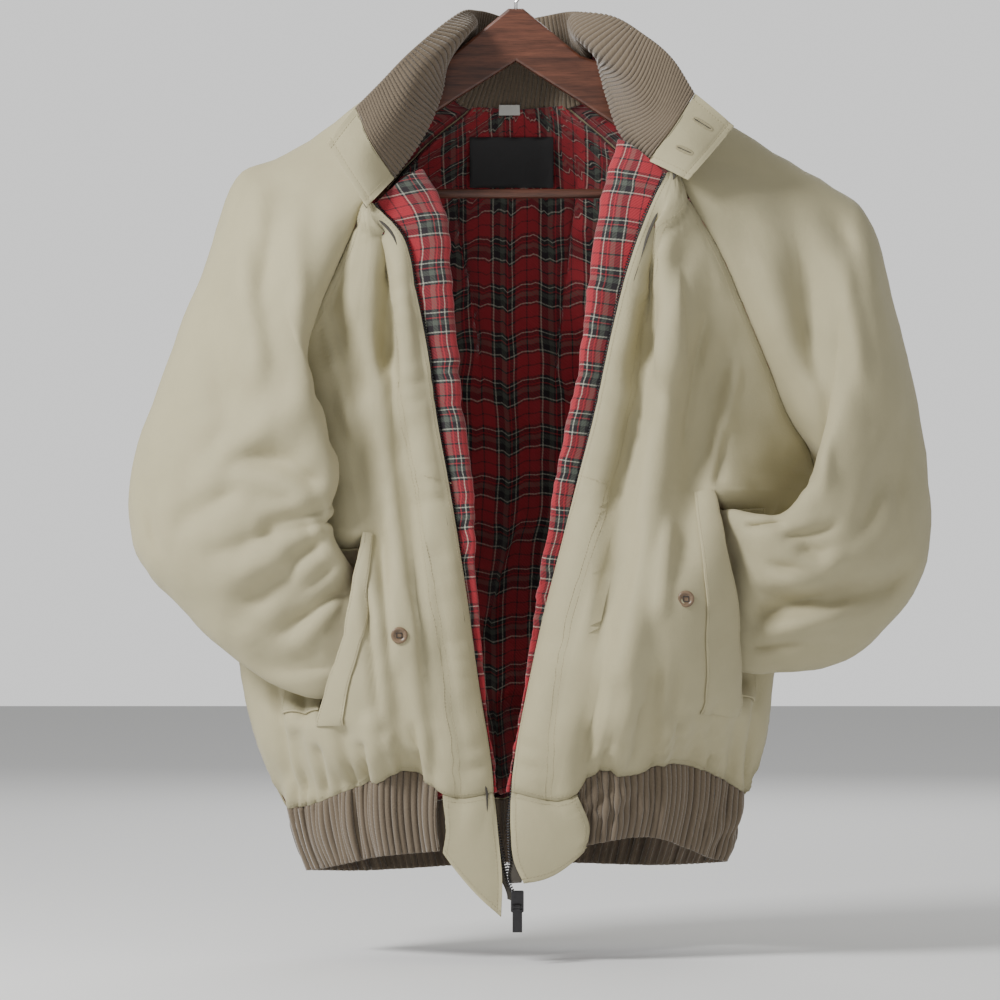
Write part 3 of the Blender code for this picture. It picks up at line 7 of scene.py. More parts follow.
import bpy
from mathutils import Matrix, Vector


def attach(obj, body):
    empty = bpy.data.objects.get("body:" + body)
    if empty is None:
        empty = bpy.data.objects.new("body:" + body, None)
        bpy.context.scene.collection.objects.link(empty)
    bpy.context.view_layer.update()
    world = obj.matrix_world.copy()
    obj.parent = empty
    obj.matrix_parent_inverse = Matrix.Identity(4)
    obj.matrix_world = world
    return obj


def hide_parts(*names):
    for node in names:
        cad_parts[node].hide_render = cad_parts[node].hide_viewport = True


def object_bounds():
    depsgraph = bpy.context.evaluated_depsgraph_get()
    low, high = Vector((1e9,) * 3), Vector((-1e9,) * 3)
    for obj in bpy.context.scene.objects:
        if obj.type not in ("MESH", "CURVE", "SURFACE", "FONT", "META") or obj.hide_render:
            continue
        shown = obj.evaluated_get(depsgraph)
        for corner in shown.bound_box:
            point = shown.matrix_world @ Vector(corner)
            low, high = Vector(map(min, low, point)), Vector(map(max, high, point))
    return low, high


bl_info = {
    "name": "Bomber Jacket",
    "version": (1, 0, 0),
    "blender": (4, 5, 0),
    "location": "3D View > Sidebar > Jacket",
    "description": "Builds the cloth, ribs, lining, zip and stitching of a hanging bomber jacket",
    "category": "Add Mesh",
}

import math

import bmesh
import bpy
import numpy as np
from bpy.props import FloatProperty, FloatVectorProperty, PointerProperty
from mathutils import Vector
from mathutils.bvhtree import BVHTree

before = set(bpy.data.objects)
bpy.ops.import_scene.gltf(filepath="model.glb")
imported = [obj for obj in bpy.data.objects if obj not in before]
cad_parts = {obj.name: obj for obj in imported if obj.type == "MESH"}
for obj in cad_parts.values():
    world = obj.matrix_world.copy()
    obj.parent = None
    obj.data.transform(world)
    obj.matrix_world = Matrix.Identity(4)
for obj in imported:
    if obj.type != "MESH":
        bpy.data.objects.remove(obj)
CAD_BOX = [list(map(float, corner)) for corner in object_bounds()]
BODY = "jacket"
FINE = 6                   # each cell of the frame's cloth is split this many times each way

# ---------------------------------------------------------------- driving dimensions (mm)
MM = 0.001
SHELL_T = 2.0              # outer cloth
LINING_T = 1.6             # quilted lining without its raised quilting
RIB_T = 2.4                # knitted rib without its raised ribs
SEAM_GAP = 0.4             # between two pieces sewn together
LAY_GAP = 0.3              # between a piece and what it lies on
COLLAR_RIB_PITCH = 4.7
BAND_RIB_PITCH = 7.0
ZIP_EDGE = 3.0             # from the middle of the zip to the cloth's edge
TAPE_WIDTH = 9.0
TAPE_T = 1.0
TAPE_STEP = 12             # the tape steps back for the thicker hem block this far above it
FACING_STRIP = 8.0         # the first column of cloth beside the zip
TEETH_GAP = 0.6            # from a tape's edge to the middle of the zip
TAB_T = 2.4
TAB_BOW = 3
TAB_STAND = 2.5            # how far a tab's lower end stands off the neck seam
WELT_T = 1.6
FLAP_T = 2.0
FLAP_GAP = 0.6
FLAP_INSET = 0.35          # of a row step, from the mouth's ends
BLOCK_T = 3.0
LABEL_T = 0.8
COLLAR_SEAM_GAP = -4.0     # minus: the collar runs on into the seam
TAB_SEAM_GAP = 1.0
BAND_SEAM_GAP = 0.2
BAND_END = .007            # the waistband stops this share of its length short of each hem block
BLOCK_SEAM_GAP = 0.1
CUFF_SEAM_GAP = -2.0
BAND_BULGE = 3
LINING_EASE = 5            # how far the back lining stands off the back below the neck
LINING_EASE_ROWS = 4       # rows of the back over which it comes away from it
LINING_INSET = (.03, .06)   # how far it stops short of the back's sides and hem, in cells of the back
LINING_BELOW_NECK = -1.5
LINING_TURN = 9            # how far the rolled front lining turns back
LINING_TOP = -166          # a label above this is hung from here
LINING_RISE = 34           # the front lining's top edge climbs this much along the neck seam
LINING_SHOW = 40           # over this width
LINING_LEAN = .45          # and goes back by this share of its climb
QUILT_WAVE = 22
QUILT_LENGTH = 180
QUILT_PITCH = 90
QUILT_RAISE = 2.5
BUTTON_D = 15.5
BUTTON_T = 3.0
ROWS_HEM_TO_POCKET = 3
ROWS_POCKET = 5
ROWS_POCKET_TO_ARM = 2
ROWS_RAGLAN = 8
COLS_BLOCK = 2
COLS_TO_MOUTH = 4
COLS_TO_SIDE = 4
COLS_BACK = 12
NECK_STEPS = 8             # of the steps round a sleeve, how many lie along the neck
STEPS_ROUND = NECK_STEPS + 2 * ROWS_RAGLAN
BACK_STEP = 8              # the step at which a sleeve's back stands out furthest
SLEEVE_STEPS = (2, 1, 1, 1, 1, 1, 1, 1, 1, 1, 1, 1, 1)
ROUND_BODY_PEAK = .475     # makes a sleeve's outset and drop the real ones at its lowest hidden point
# The middle of the zip, neck to bottom end: x, y, z
ZIP = {
    "right": [(-131, -83, -259), (-103, -86, -289), (-91, -86, -340), (-80, -85, -396), (-71, -86, -461),
              (-61, -88, -516), (-43, -94, -628), (-33, -99, -702), (-21, -105, -777), (-15, -109, -833),
              (-10, -111, -860), (-8, -112, -888), (-1, -113, -903)],
    "left": [(138, -83, -230), (125, -86, -256), (101, -86, -321), (87, -85, -377), (69, -86, -461),
             (55, -88, -516), (41, -91, -572), (22, -96, -647), (8, -101, -712), (-1, -105, -758),
             (-8, -108, -814), (-9.2, -110, -843), (-7, -111, -867), (-6, -112, -887), (1, -113, -903)],
}
HEM_Z = -806               # where the front's zip edge meets the hem block
# Side seam, hem to underarm: x, y, z
SIDE_SEAM = {
    "right": [(-218, 4, -826), (-240, 2, -780), (-258, 0, -715), (-266, 0, -640), (-270, 0, -560),
              (-270, 0, -512)],
    "left": [(218, 4, -814), (234, 2, -775), (244, 0, -705), (256, 0, -620), (276, 0, -545), (284, 0, -510)],
}
# Front raglan seam, underarm to neck: x, y, z
RAGLAN_FRONT = {
    "right": [(-270, 0, -512), (-258, -34, -478), (-234, -54, -434), (-208, -63, -396), (-173, -71, -329),
              (-154, -73, -288), (-141, -74, -256)],
    "left": [(284, 0, -510), (274, -30, -484), (257, -44, -459), (236, -54, -408), (213, -62, -354),
             (190, -69, -302), (163, -73, -256), (149, -74, -228)],
}
# Back raglan seam, underarm to neck: x, y, z
RAGLAN_BACK = {
    "right": [(-270, 0, -512), (-256, 34, -470), (-225, 54, -400), (-160, 58, -290), (-95, 44, -205),
              (-42, 31, -160)],
    "left": [(284, 0, -510), (268, 34, -470), (232, 54, -400), (168, 58, -290), (102, 44, -205), (48, 30, -159)],
}
# Neck seam along the sleeve head, front raglan seam to back raglan seam: share of the way, x, y, z
NECK_SLEEVE = {
    "right": [(0, -141, -74, -256), (.125, -116, -72, -231), (.25, -89, -54, -191), (.375, -72, -32, -150),
              (.50, -62, 0, -100), (.72, -57, 22, -146), (1, -42, 31, -160)],
    "left": [(0, 149, -74, -228), (.125, 126, -73, -214), (.25, 101, -54, -190), (.375, 88, -33, -154),
             (.50, 74, 0, -106), (.72, 69, 21, -146), (1, 48, 30, -159)],
}
NECK_BACK_DIP = 3.5        # the neck seam's middle lies this far below its ends on the back
# How a front bends between its zip edge and its seam:
# height (0 hem, .5 underarm, 1 neck), roundness of the side, bulge of the front
FRONT_FORM = {
    "right": [(0, 3.2, 8), (.06, 3.0, 20), (.14, 2.8, 27), (.33, 2.4, 28), (.42, 2.0, 14), (.5, 1.8, 8),
              (.7, 1.5, 4), (1, 1.2, 0)],
    "left": [(0, 3.6, 8), (.06, 3.6, 22), (.13, 4.8, 40), (.38, 4.8, 42), (.46, 3.0, 20), (.53, 2.0, 8),
             (.7, 1.5, 4), (1, 1.2, 0)],
}
# How far the gathered hem is lifted, from the zip to the side seam: share of the way, lift
HEM_LIFT = {
    "right": [(0, 0), (.22, 2), (.30, 14), (.41, 27), (.55, 21), (.70, 13), (.87, 2), (1, 0)],
    "left": [(0, 0), (.26, 0), (.36, 22), (.50, 18), (.62, 29), (.74, 28), (.87, 18), (1, 0)],
}
BLOCK_SHARE = {"right": .235, "left": .27}     # where the hem block ends, as a share of the hem
FOLD_FADE = 16                                 # folds fade this near a front's edges
BULGE_LEAN = .85                               # below 1 the bulge lies nearer the zip
HEM_REACH = .09                                # height over which the gathers of the hem die out
HEM_TUCK = 10                                  # the hem lies this far inside the cloth that blouses over it
TUCK_REACH = .03
# Slanted pocket mouth, top to bottom: x, z
MOUTH = {
    "right": [(-142, -556), (-149, -606), (-156, -660), (-172, -701), (-184, -742)],
    "left": [(183, -522), (187, -548), (193, -578), (202, -634), (206, -697), (207, -722)],
}
MOUTH_ROWS = {"right": (.125, .425), "left": (.125, .475)}    # heights of the mouth's two ends
MOUTH_LIMITS = (.3, .85)                       # the mouth's share of the way to the seam stays in here
MOUTH_LINE_TOP = .62                           # where the mouth's line of points meets the neck
MOUTH_PUSH = {"right": 54, "left": 60}         # how far the sleeve presses the cloth in behind the mouth
PUSH_RAMP = (.06, .055)                        # height over which the push grows at the mouth's two ends
PUSH_FALL = 1.2                                # how fast it falls off towards the seam
# Soft folds seen from the front: x and z of both ends, half width, depth (minus is a ridge)
FRONT_FOLDS = {
    "right": [(-120, -275, -119, -410, 9, 16), (-117, -400, -92, -620, 9, 9), (-88, -610, -72, -790, 8, 5),
              (-100, -300, -104, -470, 10, -5), (-190, -300, -150, -440, 16, 7), (-150, -470, -120, -620, 14, 5),
              (-112, -690, -100, -790, 11, 5), (-160, -745, -152, -805, 9, 5), (-205, -750, -196, -810, 9, 5),
              (-134, -735, -128, -795, 8, -4)],
    "left": [(128, -270, 122, -400, 10, 15), (120, -390, 84, -640, 10, 12), (84, -620, 62, -790, 8, 7),
             (134, -290, 142, -420, 11, -8), (160, -330, 120, -560, 14, -6), (190, -400, 150, -600, 15, 6),
             (108, -640, 88, -780, 12, -7), (128, -690, 122, -785, 9, 6), (170, -730, 166, -785, 9, 5),
             (205, -735, 200, -800, 8, 5)],
}
# Back panel: height, how far the middle stands back, how far it stands back beside the middle
BACK_FORM = [(0, 66, 64), (.07, 84, 82), (.16, 92, 90), (.35, 86, 84), (.5, 78, 78), (.7, 70, 72), (.88, 54, 58),
             (1, 35, 34)]
BACK_FOLDS = [(-120, -250, -60, -560, 18, -6), (130, -250, 70, -580, 18, -6), (-190, -420, -170, -700, 14, -6),
              (200, -420, 176, -690, 14, -6), (10, -420, -10, -760, 20, -5), (-90, -700, -84, -810, 10, -6),
              (-20, -720, -18, -815, 10, -6), (50, -700, 46, -812, 10, -6), (120, -720, 112, -812, 10, -6),
              (-150, -730, -142, -815, 10, -6)]
# Sleeve sections from the armhole to the cuff. Each is a loop hung between an outer and an inner point.
# ox, oz: outer point; ix, iz: inner point; oy, iy: their depths; front, back: how far the loop stands out
# to each side; thin: how much the back side thins towards the inner point; outset, drop: how far its hidden
# lower part swings out and down, round the side of the body; late: how late the back side comes forward to
# the inner point; turn: which of the 24 points round is the inner point
SLEEVE_COLUMNS = ("ox", "oz", "ix", "iz", "oy", "iy", "front", "back", "thin", "outset", "drop", "late", "turn")
SLEEVE = {
    "right": [(-214, -209, -196, -410, 0, -90, 44, 58, 0, 82, 110, 3, 16),
              (-262, -231, -186, -440, -4, -92, 46, 62, .1, 86, 98, 3, 15),
              (-290, -308, -172, -484, -8, -95, 50, 68, .1, 104, 58, 3, 14),
              (-322, -392, -168, -520, -12, -96, 50, 72, .3, 100, 26, 3, 14),
              (-350, -470, -171, -542, -20, -96, 46, 84, .5, 88, 12, 2.8, 13),
              (-363, -540, -176, -557, -30, -96, 43, 68, .65, 44, 6, 2.2, 12),
              (-350, -592, -172, -569, -40, -95, 41, 46, .75, 14, 0, 1.8, 12),
              (-312, -636, -166, -582, -50, -92, 37, 34, .85, 0, 0, 1.3, 12),
              (-268, -677, -158, -593, -60, -87, 30, 24, .7, 0, 0, 1, 12),
              (-222, -707, -152, -601, -70, -83, 20, 11, .4, 0, 0, 1, 12),
              (-183, -718, -149, -607, -77, -80, 13, 10, 0, 0, 0, 1, 12),
              (-152, -715, -124, -622, -78, -80, 12, 12, 0, 0, 0, 1, 12),
              (-124, -710, -104, -634, -79, -80, 12, 12, 0, 0, 0, 1, 12)],
    "left": [(284, -233, 294, -500, -2, -42, 50, 58, 0, 18, 8, 3, 13),
             (331, -268, 279, -512, -6, -62, 46, 66, .1, 40, 14, 3, 13),
             (352, -342, 271, -526, -10, -80, 50, 64, .15, 42, 12, 3, 12),
             (374, -430, 262, -538, -14, -90, 49, 58, .3, 42, 2, 3, 12),
             (387, -520, 252, -547, -22, -94, 46, 52, .5, 34, 0, 2.5, 12),
             (384, -592, 240, -551, -32, -95, 44, 46, .7, 18, 0, 2, 12),
             (352, -647, 228, -550, -44, -94, 42, 38, .8, 6, 0, 1.6, 12),
             (308, -683, 216, -548, -54, -91, 37, 30, .85, 0, 0, 1.3, 12),
             (264, -692, 204, -547, -62, -86, 28, 22, .6, 0, 0, 1, 12),
             (230, -695, 195, -548, -68, -80, 17, 11, .3, 0, 0, 1, 12),
             (208, -692, 189, -551, -73, -76, 11, 10, 0, 0, 0, 1, 12),
             (184, -688, 166, -566, -74, -76, 11, 10, 0, 0, 0, 1, 12),
             (158, -680, 142, -590, -75, -76, 11, 11, 0, 0, 0, 1, 12)],
}
# Where each cuff ends: ox, oz, ix, iz
CUFF_END = {"right": (-88, -704, -80, -642), "left": (106, -672, 98, -604)}
CUFF_DEPTH = (-78, 10)      # middle and half depth of a cuff
# Soft folds on the sleeves' front sides, as on the fronts
SLEEVE_FOLDS = {
    "right": [(-272, -508, -240, -486, 9, 7), (-240, -486, -185, -520, 9, 8), (-270, -495, -192, -436, 14, -6),
              (-235, -560, -178, -545, 9, 7), (-255, -630, -180, -570, 9, 8), (-230, -660, -160, -620, 8, 6),
              (-262, -300, -245, -430, 16, -5), (-240, -690, -185, -680, 8, 5), (-300, -380, -320, -500, 22, -4)],
    "left": [(226, -642, 276, -624, 10, 10), (276, -624, 364, -606, 10, 11), (262, -578, 288, -587, 9, 6),
             (214, -260, 226, -420, 12, 8), (240, -262, 252, -440, 11, -7), (262, -262, 272, -400, 10, 7),
             (330, -300, 352, -460, 18, -6), (230, -660, 300, -655, 12, -5), (236, -610, 340, -590, 14, -5)],
}
SLEEVE_FOLD_ENDS = (1.2, 11.5)                 # sections between which the folds are whole and have died out
# Rolled front lining: height, how far it shows past the zip, how far it reaches back under the front
LINING_ROLL = {
    "right": [(0, 3, 8), (.1, 4, 10), (.2, 9, 12), (.35, 14, 14), (.5, 24, 16), (.7, 28, 13), (.85, 36, 9),
              (1, 44, 2)],
    "left": [(0, 3, 8), (.1, 3.6, 10), (.2, 8, 12), (.35, 18, 14), (.5, 24, 16), (.7, 26, 13), (.85, 36, 9),
             (1, 44, 2)],
}
# Collar: share of the way round, then x, y, z of its fold and of its free edge (it starts at the neck seam)
COLLAR = [
    (0.00, -135, -90, -203, -149, -84, -169),
    (0.09, -112, -80, -176, -127, -78, -146),
    (0.18, -84, -64, -133, -100, -68, -117),
    (0.27, -44, -28, -92, -66, -38, -86),
    (0.32, -38, 2, -85, -50, -12, -73),
    (0.38, -40, 27, -104, -34, 18, -70),
    (0.50, 2, 41, -118, 2, 46, -76),
    (0.62, 54, 27, -106, 50, 18, -71),
    (0.68, 51, 2, -86, 62, -10, -74),
    (0.73, 58, -28, -97, 88, -40, -80),
    (0.82, 103, -66, -136, 122, -70, -102),
    (0.91, 128, -80, -168, 146, -78, -124),
    (1.00, 146, -90, -188, 166, -82, -156),
]
# Collar tabs: the two free corners, x, y, z
TAB = {
    "right": {"low": (-139, -88, -263), "high": (-176, -86, -203)},
    "left": {"low": (160, -90, -238), "high": (203, -84, -187)},
}
# Waistband's lower edge: share of the way round, z, share of the upper edge's width
BAND_BOTTOM = [(0, -860, .97), (.1, -868, .95), (.2, -882, .92), (.3, -888, .91), (.5, -882, .92), (.7, -882, .92),
               (.8, -872, .93), (.9, -849, .96), (1, -858, .98)]
# Hem blocks below the front's hem: outer edge and zip edge, top to bottom: x, z
BLOCK = {
    "right": {"outer": [(-64, -806), (-65, -842), (-68, -862)],
              "zip": [(-20, -808), (-17, -842), (-13, -886), (-14, -921)]},
    "left": {"outer": [(56, -806), (68, -842), (63, -861)], "zip": [(-4, -808), (-5, -842), (-2, -870), (7, -890)]},
}
BLOCK_SAG = {"right": -4, "left": -7}          # how far the bottom edge bows down
BLOCK_Y = (-107, -112)                         # at its top and its bottom
BLOCK_BULGE = 5
BLOCK_EASE = 1.4                               # above 1 it leaves the front's form higher up
BUTTON_AT = {"right": (-108, -660), "left": (156, -626)}       # x, z on the front
LABEL = (-4, -213, 80, 48)                     # middle x, middle z, width, height
SIZE_TAG = (-6, -163.5, 20, 10)
LABEL_OFF = 1.0                                # from the lining's face to the middle of a label

# Finer creases than the frame's: x and z of both ends, half width, depth (minus is a ridge)
FRONT_CREASES = {
    "right": [(-118, -350, -112, -430, 5, 2), (-96, -520, -84, -690, 5, 3), (-76, -560, -66, -700, 4, 2.5),
              (-128, -560, -116, -690, 5, 3), (-140, -620, -128, -730, 4, 3), (-205, -640, -198, -745, 6, 3),
              (-232, -560, -222, -690, 5, 3), (-228, -700, -214, -800, 5, 4), (-186, -765, -178, -812, 5, 4),
              (-143, -760, -138, -800, 4, 4), (-120, -752, -112, -790, 4, -3), (-96, -742, -90, -800, 4, 4),
              (-170, -400, -150, -480, 7, -3), (-212, -420, -196, -530, 7, 4), (-182, -352, -170, -410, 5, -3),
              (-100, -330, -84, -420, 4, 2), (-86, -450, -74, -540, 4, -2), (-244, -500, -232, -590, 5, 3)],
    "left": [(116, -350, 104, -430, 5, 3), (92, -500, 74, -650, 5, 3), (66, -610, 54, -730, 4, 3),
             (148, -330, 136, -470, 6, -4), (176, -370, 158, -480, 6, 4), (206, -410, 186, -500, 6, -3),
             (140, -560, 132, -640, 6, -3), (112, -560, 96, -640, 6, 3), (150, -690, 142, -740, 5, 3),
             (98, -700, 82, -780, 5, 4), (116, -725, 110, -778, 4, 4), (140, -735, 134, -780, 4, -4),
             (152, -730, 150, -785, 4, 4), (186, -722, 182, -792, 5, 4), (226, -720, 218, -802, 5, 4),
             (232, -600, 224, -690, 6, 3), (246, -545, 240, -600, 5, 3), (84, -350, 78, -420, 4, 2),
             (70, -430, 60, -540, 4, -2), (196, -470, 188, -520, 5, 3)],
}
BACK_CREASES = [(-200, -330, -150, -520, 8, -3), (190, -330, 150, -540, 8, -3), (-60, -240, -30, -420, 9, -3),
                (60, -230, 36, -430, 9, -3), (-240, -560, -226, -740, 7, 3), (236, -560, 222, -730, 7, 3),
                (-170, -700, -164, -806, 5, 4), (-128, -735, -122, -812, 5, 4), (-66, -726, -62, -812, 5, 4),
                (-36, -748, -34, -815, 4, 4), (4, -730, 4, -816, 5, 4), (32, -750, 30, -815, 4, 4),
                (74, -736, 70, -812, 5, 4), (98, -752, 94, -812, 4, 4), (146, -728, 138, -812, 5, 4),
                (176, -744, 168, -808, 5, 4), (-206, -760, -196, -812, 5, 4), (0, -560, -40, -690, 10, -3)]
SLEEVE_CREASES = {
    "right": [(-246, -212, -262, -290, 7, 4), (-224, -232, -232, -330, 6, 3), (-206, -262, -200, -360, 6, -3),
              (-260, -300, -236, -420, 7, -4), (-292, -330, -262, -470, 8, 3), (-330, -420, -300, -520, 8, 3),
              (-282, -478, -240, -470, 5, 4), (-246, -500, -196, -494, 4, 4), (-300, -520, -250, -506, 5, -3),
              (-318, -560, -262, -528, 6, 4), (-268, -528, -206, -534, 4, 4), (-288, -588, -226, -566, 5, 5),
              (-232, -572, -178, -556, 4, 4), (-276, -614, -214, -588, 4, -4), (-262, -650, -206, -606, 5, 5),
              (-222, -640, -172, -596, 4, 4), (-238, -676, -190, -640, 4, 4), (-204, -668, -166, -628, 4, -3),
              (-352, -520, -332, -580, 6, 3), (-232, -700, -176, -690, 4, 3), (-206, -520, -182, -566, 4, -3)],
    "left": [(292, -246, 312, -300, 7, 5), (244, -236, 250, -330, 6, 4), (228, -300, 240, -400, 7, -4),
             (266, -300, 282, -420, 8, 4), (300, -300, 322, -420, 9, -4), (250, -400, 262, -490, 7, 4),
             (280, -430, 286, -520, 6, -3), (350, -500, 318, -560, 8, 4), (296, -560, 250, -570, 5, 4),
             (300, -600, 350, -584, 5, 4), (240, -596, 300, -606, 5, 5), (286, -634, 352, -618, 5, 5),
             (226, -618, 262, -628, 4, 4), (250, -652, 306, -640, 5, -4), (222, -672, 262, -664, 4, 4),
             (366, -470, 352, -540, 7, 3), (216, -560, 246, -556, 4, 4), (230, -540, 262, -532, 4, 3)],
}
# Gathers where cloth is sewn to the ribbed waistband: mean width of one, height and reach up the cloth
GATHER = (21.0, 3.6, 34.0)
PUCKER = (9.0, .55, 7.0)       # the same for the small puckers beside a stitched seam
SEAM_SINK = (1.0, 2.6)         # depth and half width of the valley at a seam
FACING_WIDTH = 33              # from the zip's edge to the stitching of the front facing
BLOCK_STITCH = 5
STITCH_LENGTH = 2.6
STITCH_PITCH = 3.3
# Sett of the tartan: share of one repeat at which each stripe starts, and its colour
SETT_REPEAT = 46.0
SETT = [(0, "red"), (.10, "black"), (.13, "red"), (.36, "black"), (.40, "pale"), (.43, "black"), (.56, "green"),
        (.66, "black"), (.70, "red"), (.725, "black"), (.80, "pale"), (.825, "black"), (.88, "red")]

SIDES = ("right", "left")
BLOCK_ROWS = 5 * FINE + 1
TAB_POINTS = 5 * FINE + 1
RIB_STEPS = 8                  # points across one knitted rib
CUFF_RIBS = 34
BAND_WAVE = (62, 2.2)          # width and height of the waistband's uneven waves
BAND_RIB_SHARE = 1.15
TAB_STITCH = 6
TAPE_END_Z = -906
TAPE_JOIN_Z = -846             # below this the tapes run together into the slider
BUTTONHOLES = [((164, -180), (182, -191)), ((149, -206), (164, -213))]
BUTTONHOLE_W = 1.9
BUTTON_SINK = .4
BUTTON_RINGS = [(.5, 0), (.5, .6), (.47, .9), (.42, 1), (.34, .95), (.29, .6), (.22, .55), (.02, .55)]
# Short seams across the front facings, from zip to facing line: x and z of both ends
CROSS_SEAMS = {"right": [((-86, -512), (-60, -520))], "left": [((58, -512), (86, -520))]}
FLOOR_DROP = 30
CAMERA_AT = (-.015, -5.0, -.535)
CRUMPLE = (1.1, 26, 64)        # height of the uneven crumples, and their shortest and longest wave
CRUMPLE_SEED = 7
FACING_PUFF = 2.4              # the facing stands out this much between the zip and its stitching
TAPE_MEET_Z = -868             # below this the two rows of teeth are meshed
# name, place, size in metres, power in watts
STUDIO_LIGHTS = [("key", (-1.8, -1.3, 1.0), (.7, .7), 92), ("fill", (2.2, -1.6, -.1), (1.8, 1.8), 7),
                 ("back_fill", (.4, 2.4, .8), (1.8, 1.8), 24)]
CREASE_GAIN = 2.6              # multiplies the depths of the fine creases on the sleeves and the back
FRONT_GAIN = 1.9               # the same on the fronts
FOLD_EXTRA = .8                # the frame's own folds are deepened by this share
NECK_FILL = 6                  # the fronts stand out this much over the rolled lining, above NECK_FILL_Z
NECK_FILL_Z = -330
NECK_FILL_REACH = (30, 60)     # over which it grows in height, and how far from the zip it ends
FOLD_START = 40                # beside the facing, the frame's folds are deepened only past this width
HIDDEN_SHARE = .6              # of the fine creases' depth, on the hidden side of a sleeve
FACING_GROOVE = (2.6, 3.4)     # depth and half width of the valley at the facing's stitching
CRUMPLE_WAVES = 14
EDGE_BEVEL = .32               # of a wall's thickness

# How the pieces are divided, in points
NECK_SAMPLES = 60
COLLAR_ROWS = 19
BAND_ROWS = 15
CUFF_ROWS = 9
LINING_POINTS = (120, 90)      # rows, columns
ROLL_POINTS = 25
LABEL_POINTS = (13, 21)
TAPE_POINTS = 7
HOLE_POINTS = 40               # round a buttonhole
CUFF_RIB_SHARE = .6            # a cuff's ribs and wall are thinner than the collar's
CUFF_T_SHARE = .8
ROLL_PUFF = (1.1, 41)          # height and length of the padding's waves on the rolled lining
LABEL_RAY_Y = -.02             # metres: the labels are laid on the lining from in front of here
TAPE_JOIN_REACH = 40           # heights over which the tapes run together, meet and narrow
TAPE_MEET_REACH = 18
TAPE_NARROW = (.6, 30)         # share of the width lost, and over what height

# Stitches and teeth: length, width and height of one piece
STITCH_SIZE = (STITCH_LENGTH, .75, .6)
TOOTH_SIZE = (1.35, 4.2, 2.4)
TEETH_LIFT = .2
BUTTON_THREAD = ((1.6, .8, 1.2), .9)           # size and pitch
HOLE_THREAD = ((.9, 2.6, .8), .75)
SLIT_THREAD = ((1.6, .9, .5), .8)
STITCH_LIFT = .12              # from a cloth's face to a stitch's middle
ZIP_STITCH = 3.2               # insets from an edge to its stitching
RAGLAN_STITCHES = (2.6, 8.2)
POCKET_STITCH = 2.2
FACING_STITCHES = (0, 6)       # beside the facing's width
HEM_STITCH_ROW = .9
SEAM_MARKS = 12
BUTTON_TURNS = 40
BUTTON_HOLE = (2.4, 2.2)       # half the distance between the holes, across and up
BUTTON_FLOOR = .62             # of the thickness, where the thread lies in the dish
FLOOR_SIZE = 6
LIGHTS_AIM = (-.015, 0, -.5)


def smooth(keys, values, at):
    """A cubic curve through values at rising keys, read at the given places."""
    keys = np.asarray(keys, float)
    values = np.asarray(values, float).reshape(len(keys), -1)
    at = np.clip(np.atleast_1d(np.asarray(at, float)), keys[0], keys[-1])
    slope = np.gradient(values, keys, axis=0)
    i = np.clip(np.searchsorted(keys, at, side="right") - 1, 0, len(keys) - 2)
    h = (keys[i + 1] - keys[i])[:, None]
    t = (at - keys[i])[:, None] / h
    return ((2 * t**3 - 3 * t**2 + 1) * values[i] + (t**3 - 2 * t**2 + t) * h * slope[i]
            + (3 * t**2 - 2 * t**3) * values[i + 1] + (t**3 - t**2) * h * slope[i + 1])


def read_table(table, at):
    """A table's rows, read at places along its first column."""
    return smooth([row[0] for row in table], [row[1:] for row in table], at)


def step_lengths(points):
    return np.linalg.norm(np.diff(np.asarray(points, float), axis=0), axis=1)


def chord_keys(points):
    """Share of the whole length at each point of a polyline."""
    lengths = step_lengths(points)
    return np.concatenate([[0], np.cumsum(lengths)]) / lengths.sum()


def path(points, at):
    """A smooth curve through points, read at shares of its length."""
    return smooth(chord_keys(points), points, at)


def polyline(points, at):
    """Straight stretches between points, read at shares of the length."""
    points = np.asarray(points, float)
    keys = chord_keys(points)
    return np.stack([np.interp(at, keys, points[:, k]) for k in range(points.shape[1])], axis=-1)


def ramp(x):
    """0 below 0, 1 above 1, smooth between."""
    x = np.clip(x, 0, 1)
    return x * x * (3 - 2 * x)


def steps(*spans):
    """Heights or shares: (start, end, count) spans joined without repeats."""
    values = [spans[0][0]]
    for start, end, count in spans:
        values += list(np.linspace(start, end, count * FINE + 1)[1:])
    return np.array(values)


def fold_depth(points, folds):
    """How far the folds press each point in: a soft trough or ridge along each line, fading at its ends."""
    depth = np.zeros(points.shape[:-1])
    for x0, z0, x1, z1, width, amount in folds:
        start = np.array([x0, z0], float)
        along = np.array([x1, z1], float) - start
        length = np.linalg.norm(along)
        offset = points[..., (0, 2)] - start
        t = (offset @ along) / length**2
        across = (offset[..., 0] * along[1] - offset[..., 1] * along[0]) / length
        ends = ramp((t + .15) / .3) * ramp((1.15 - t) / .3)
        depth += amount * ends * np.exp(-(across / width) ** 2)
    return depth


def normals(points, closed=False):
    """Unit normals of a grid of points: rows x columns, closed along the columns if asked."""
    if closed:
        wide = np.concatenate([points[:, -1:], points, points[:, :1]], axis=1)
        along = (wide[:, 2:] - wide[:, :-2])
    else:
        along = np.gradient(points, axis=1)
    up = np.gradient(points, axis=0)
    cross = np.cross(along, up)
    return cross / np.maximum(np.linalg.norm(cross, axis=-1, keepdims=True), 1e-9)


def unit_rows(vectors):
    return vectors / np.maximum(np.linalg.norm(vectors, axis=-1, keepdims=True), 1e-9)


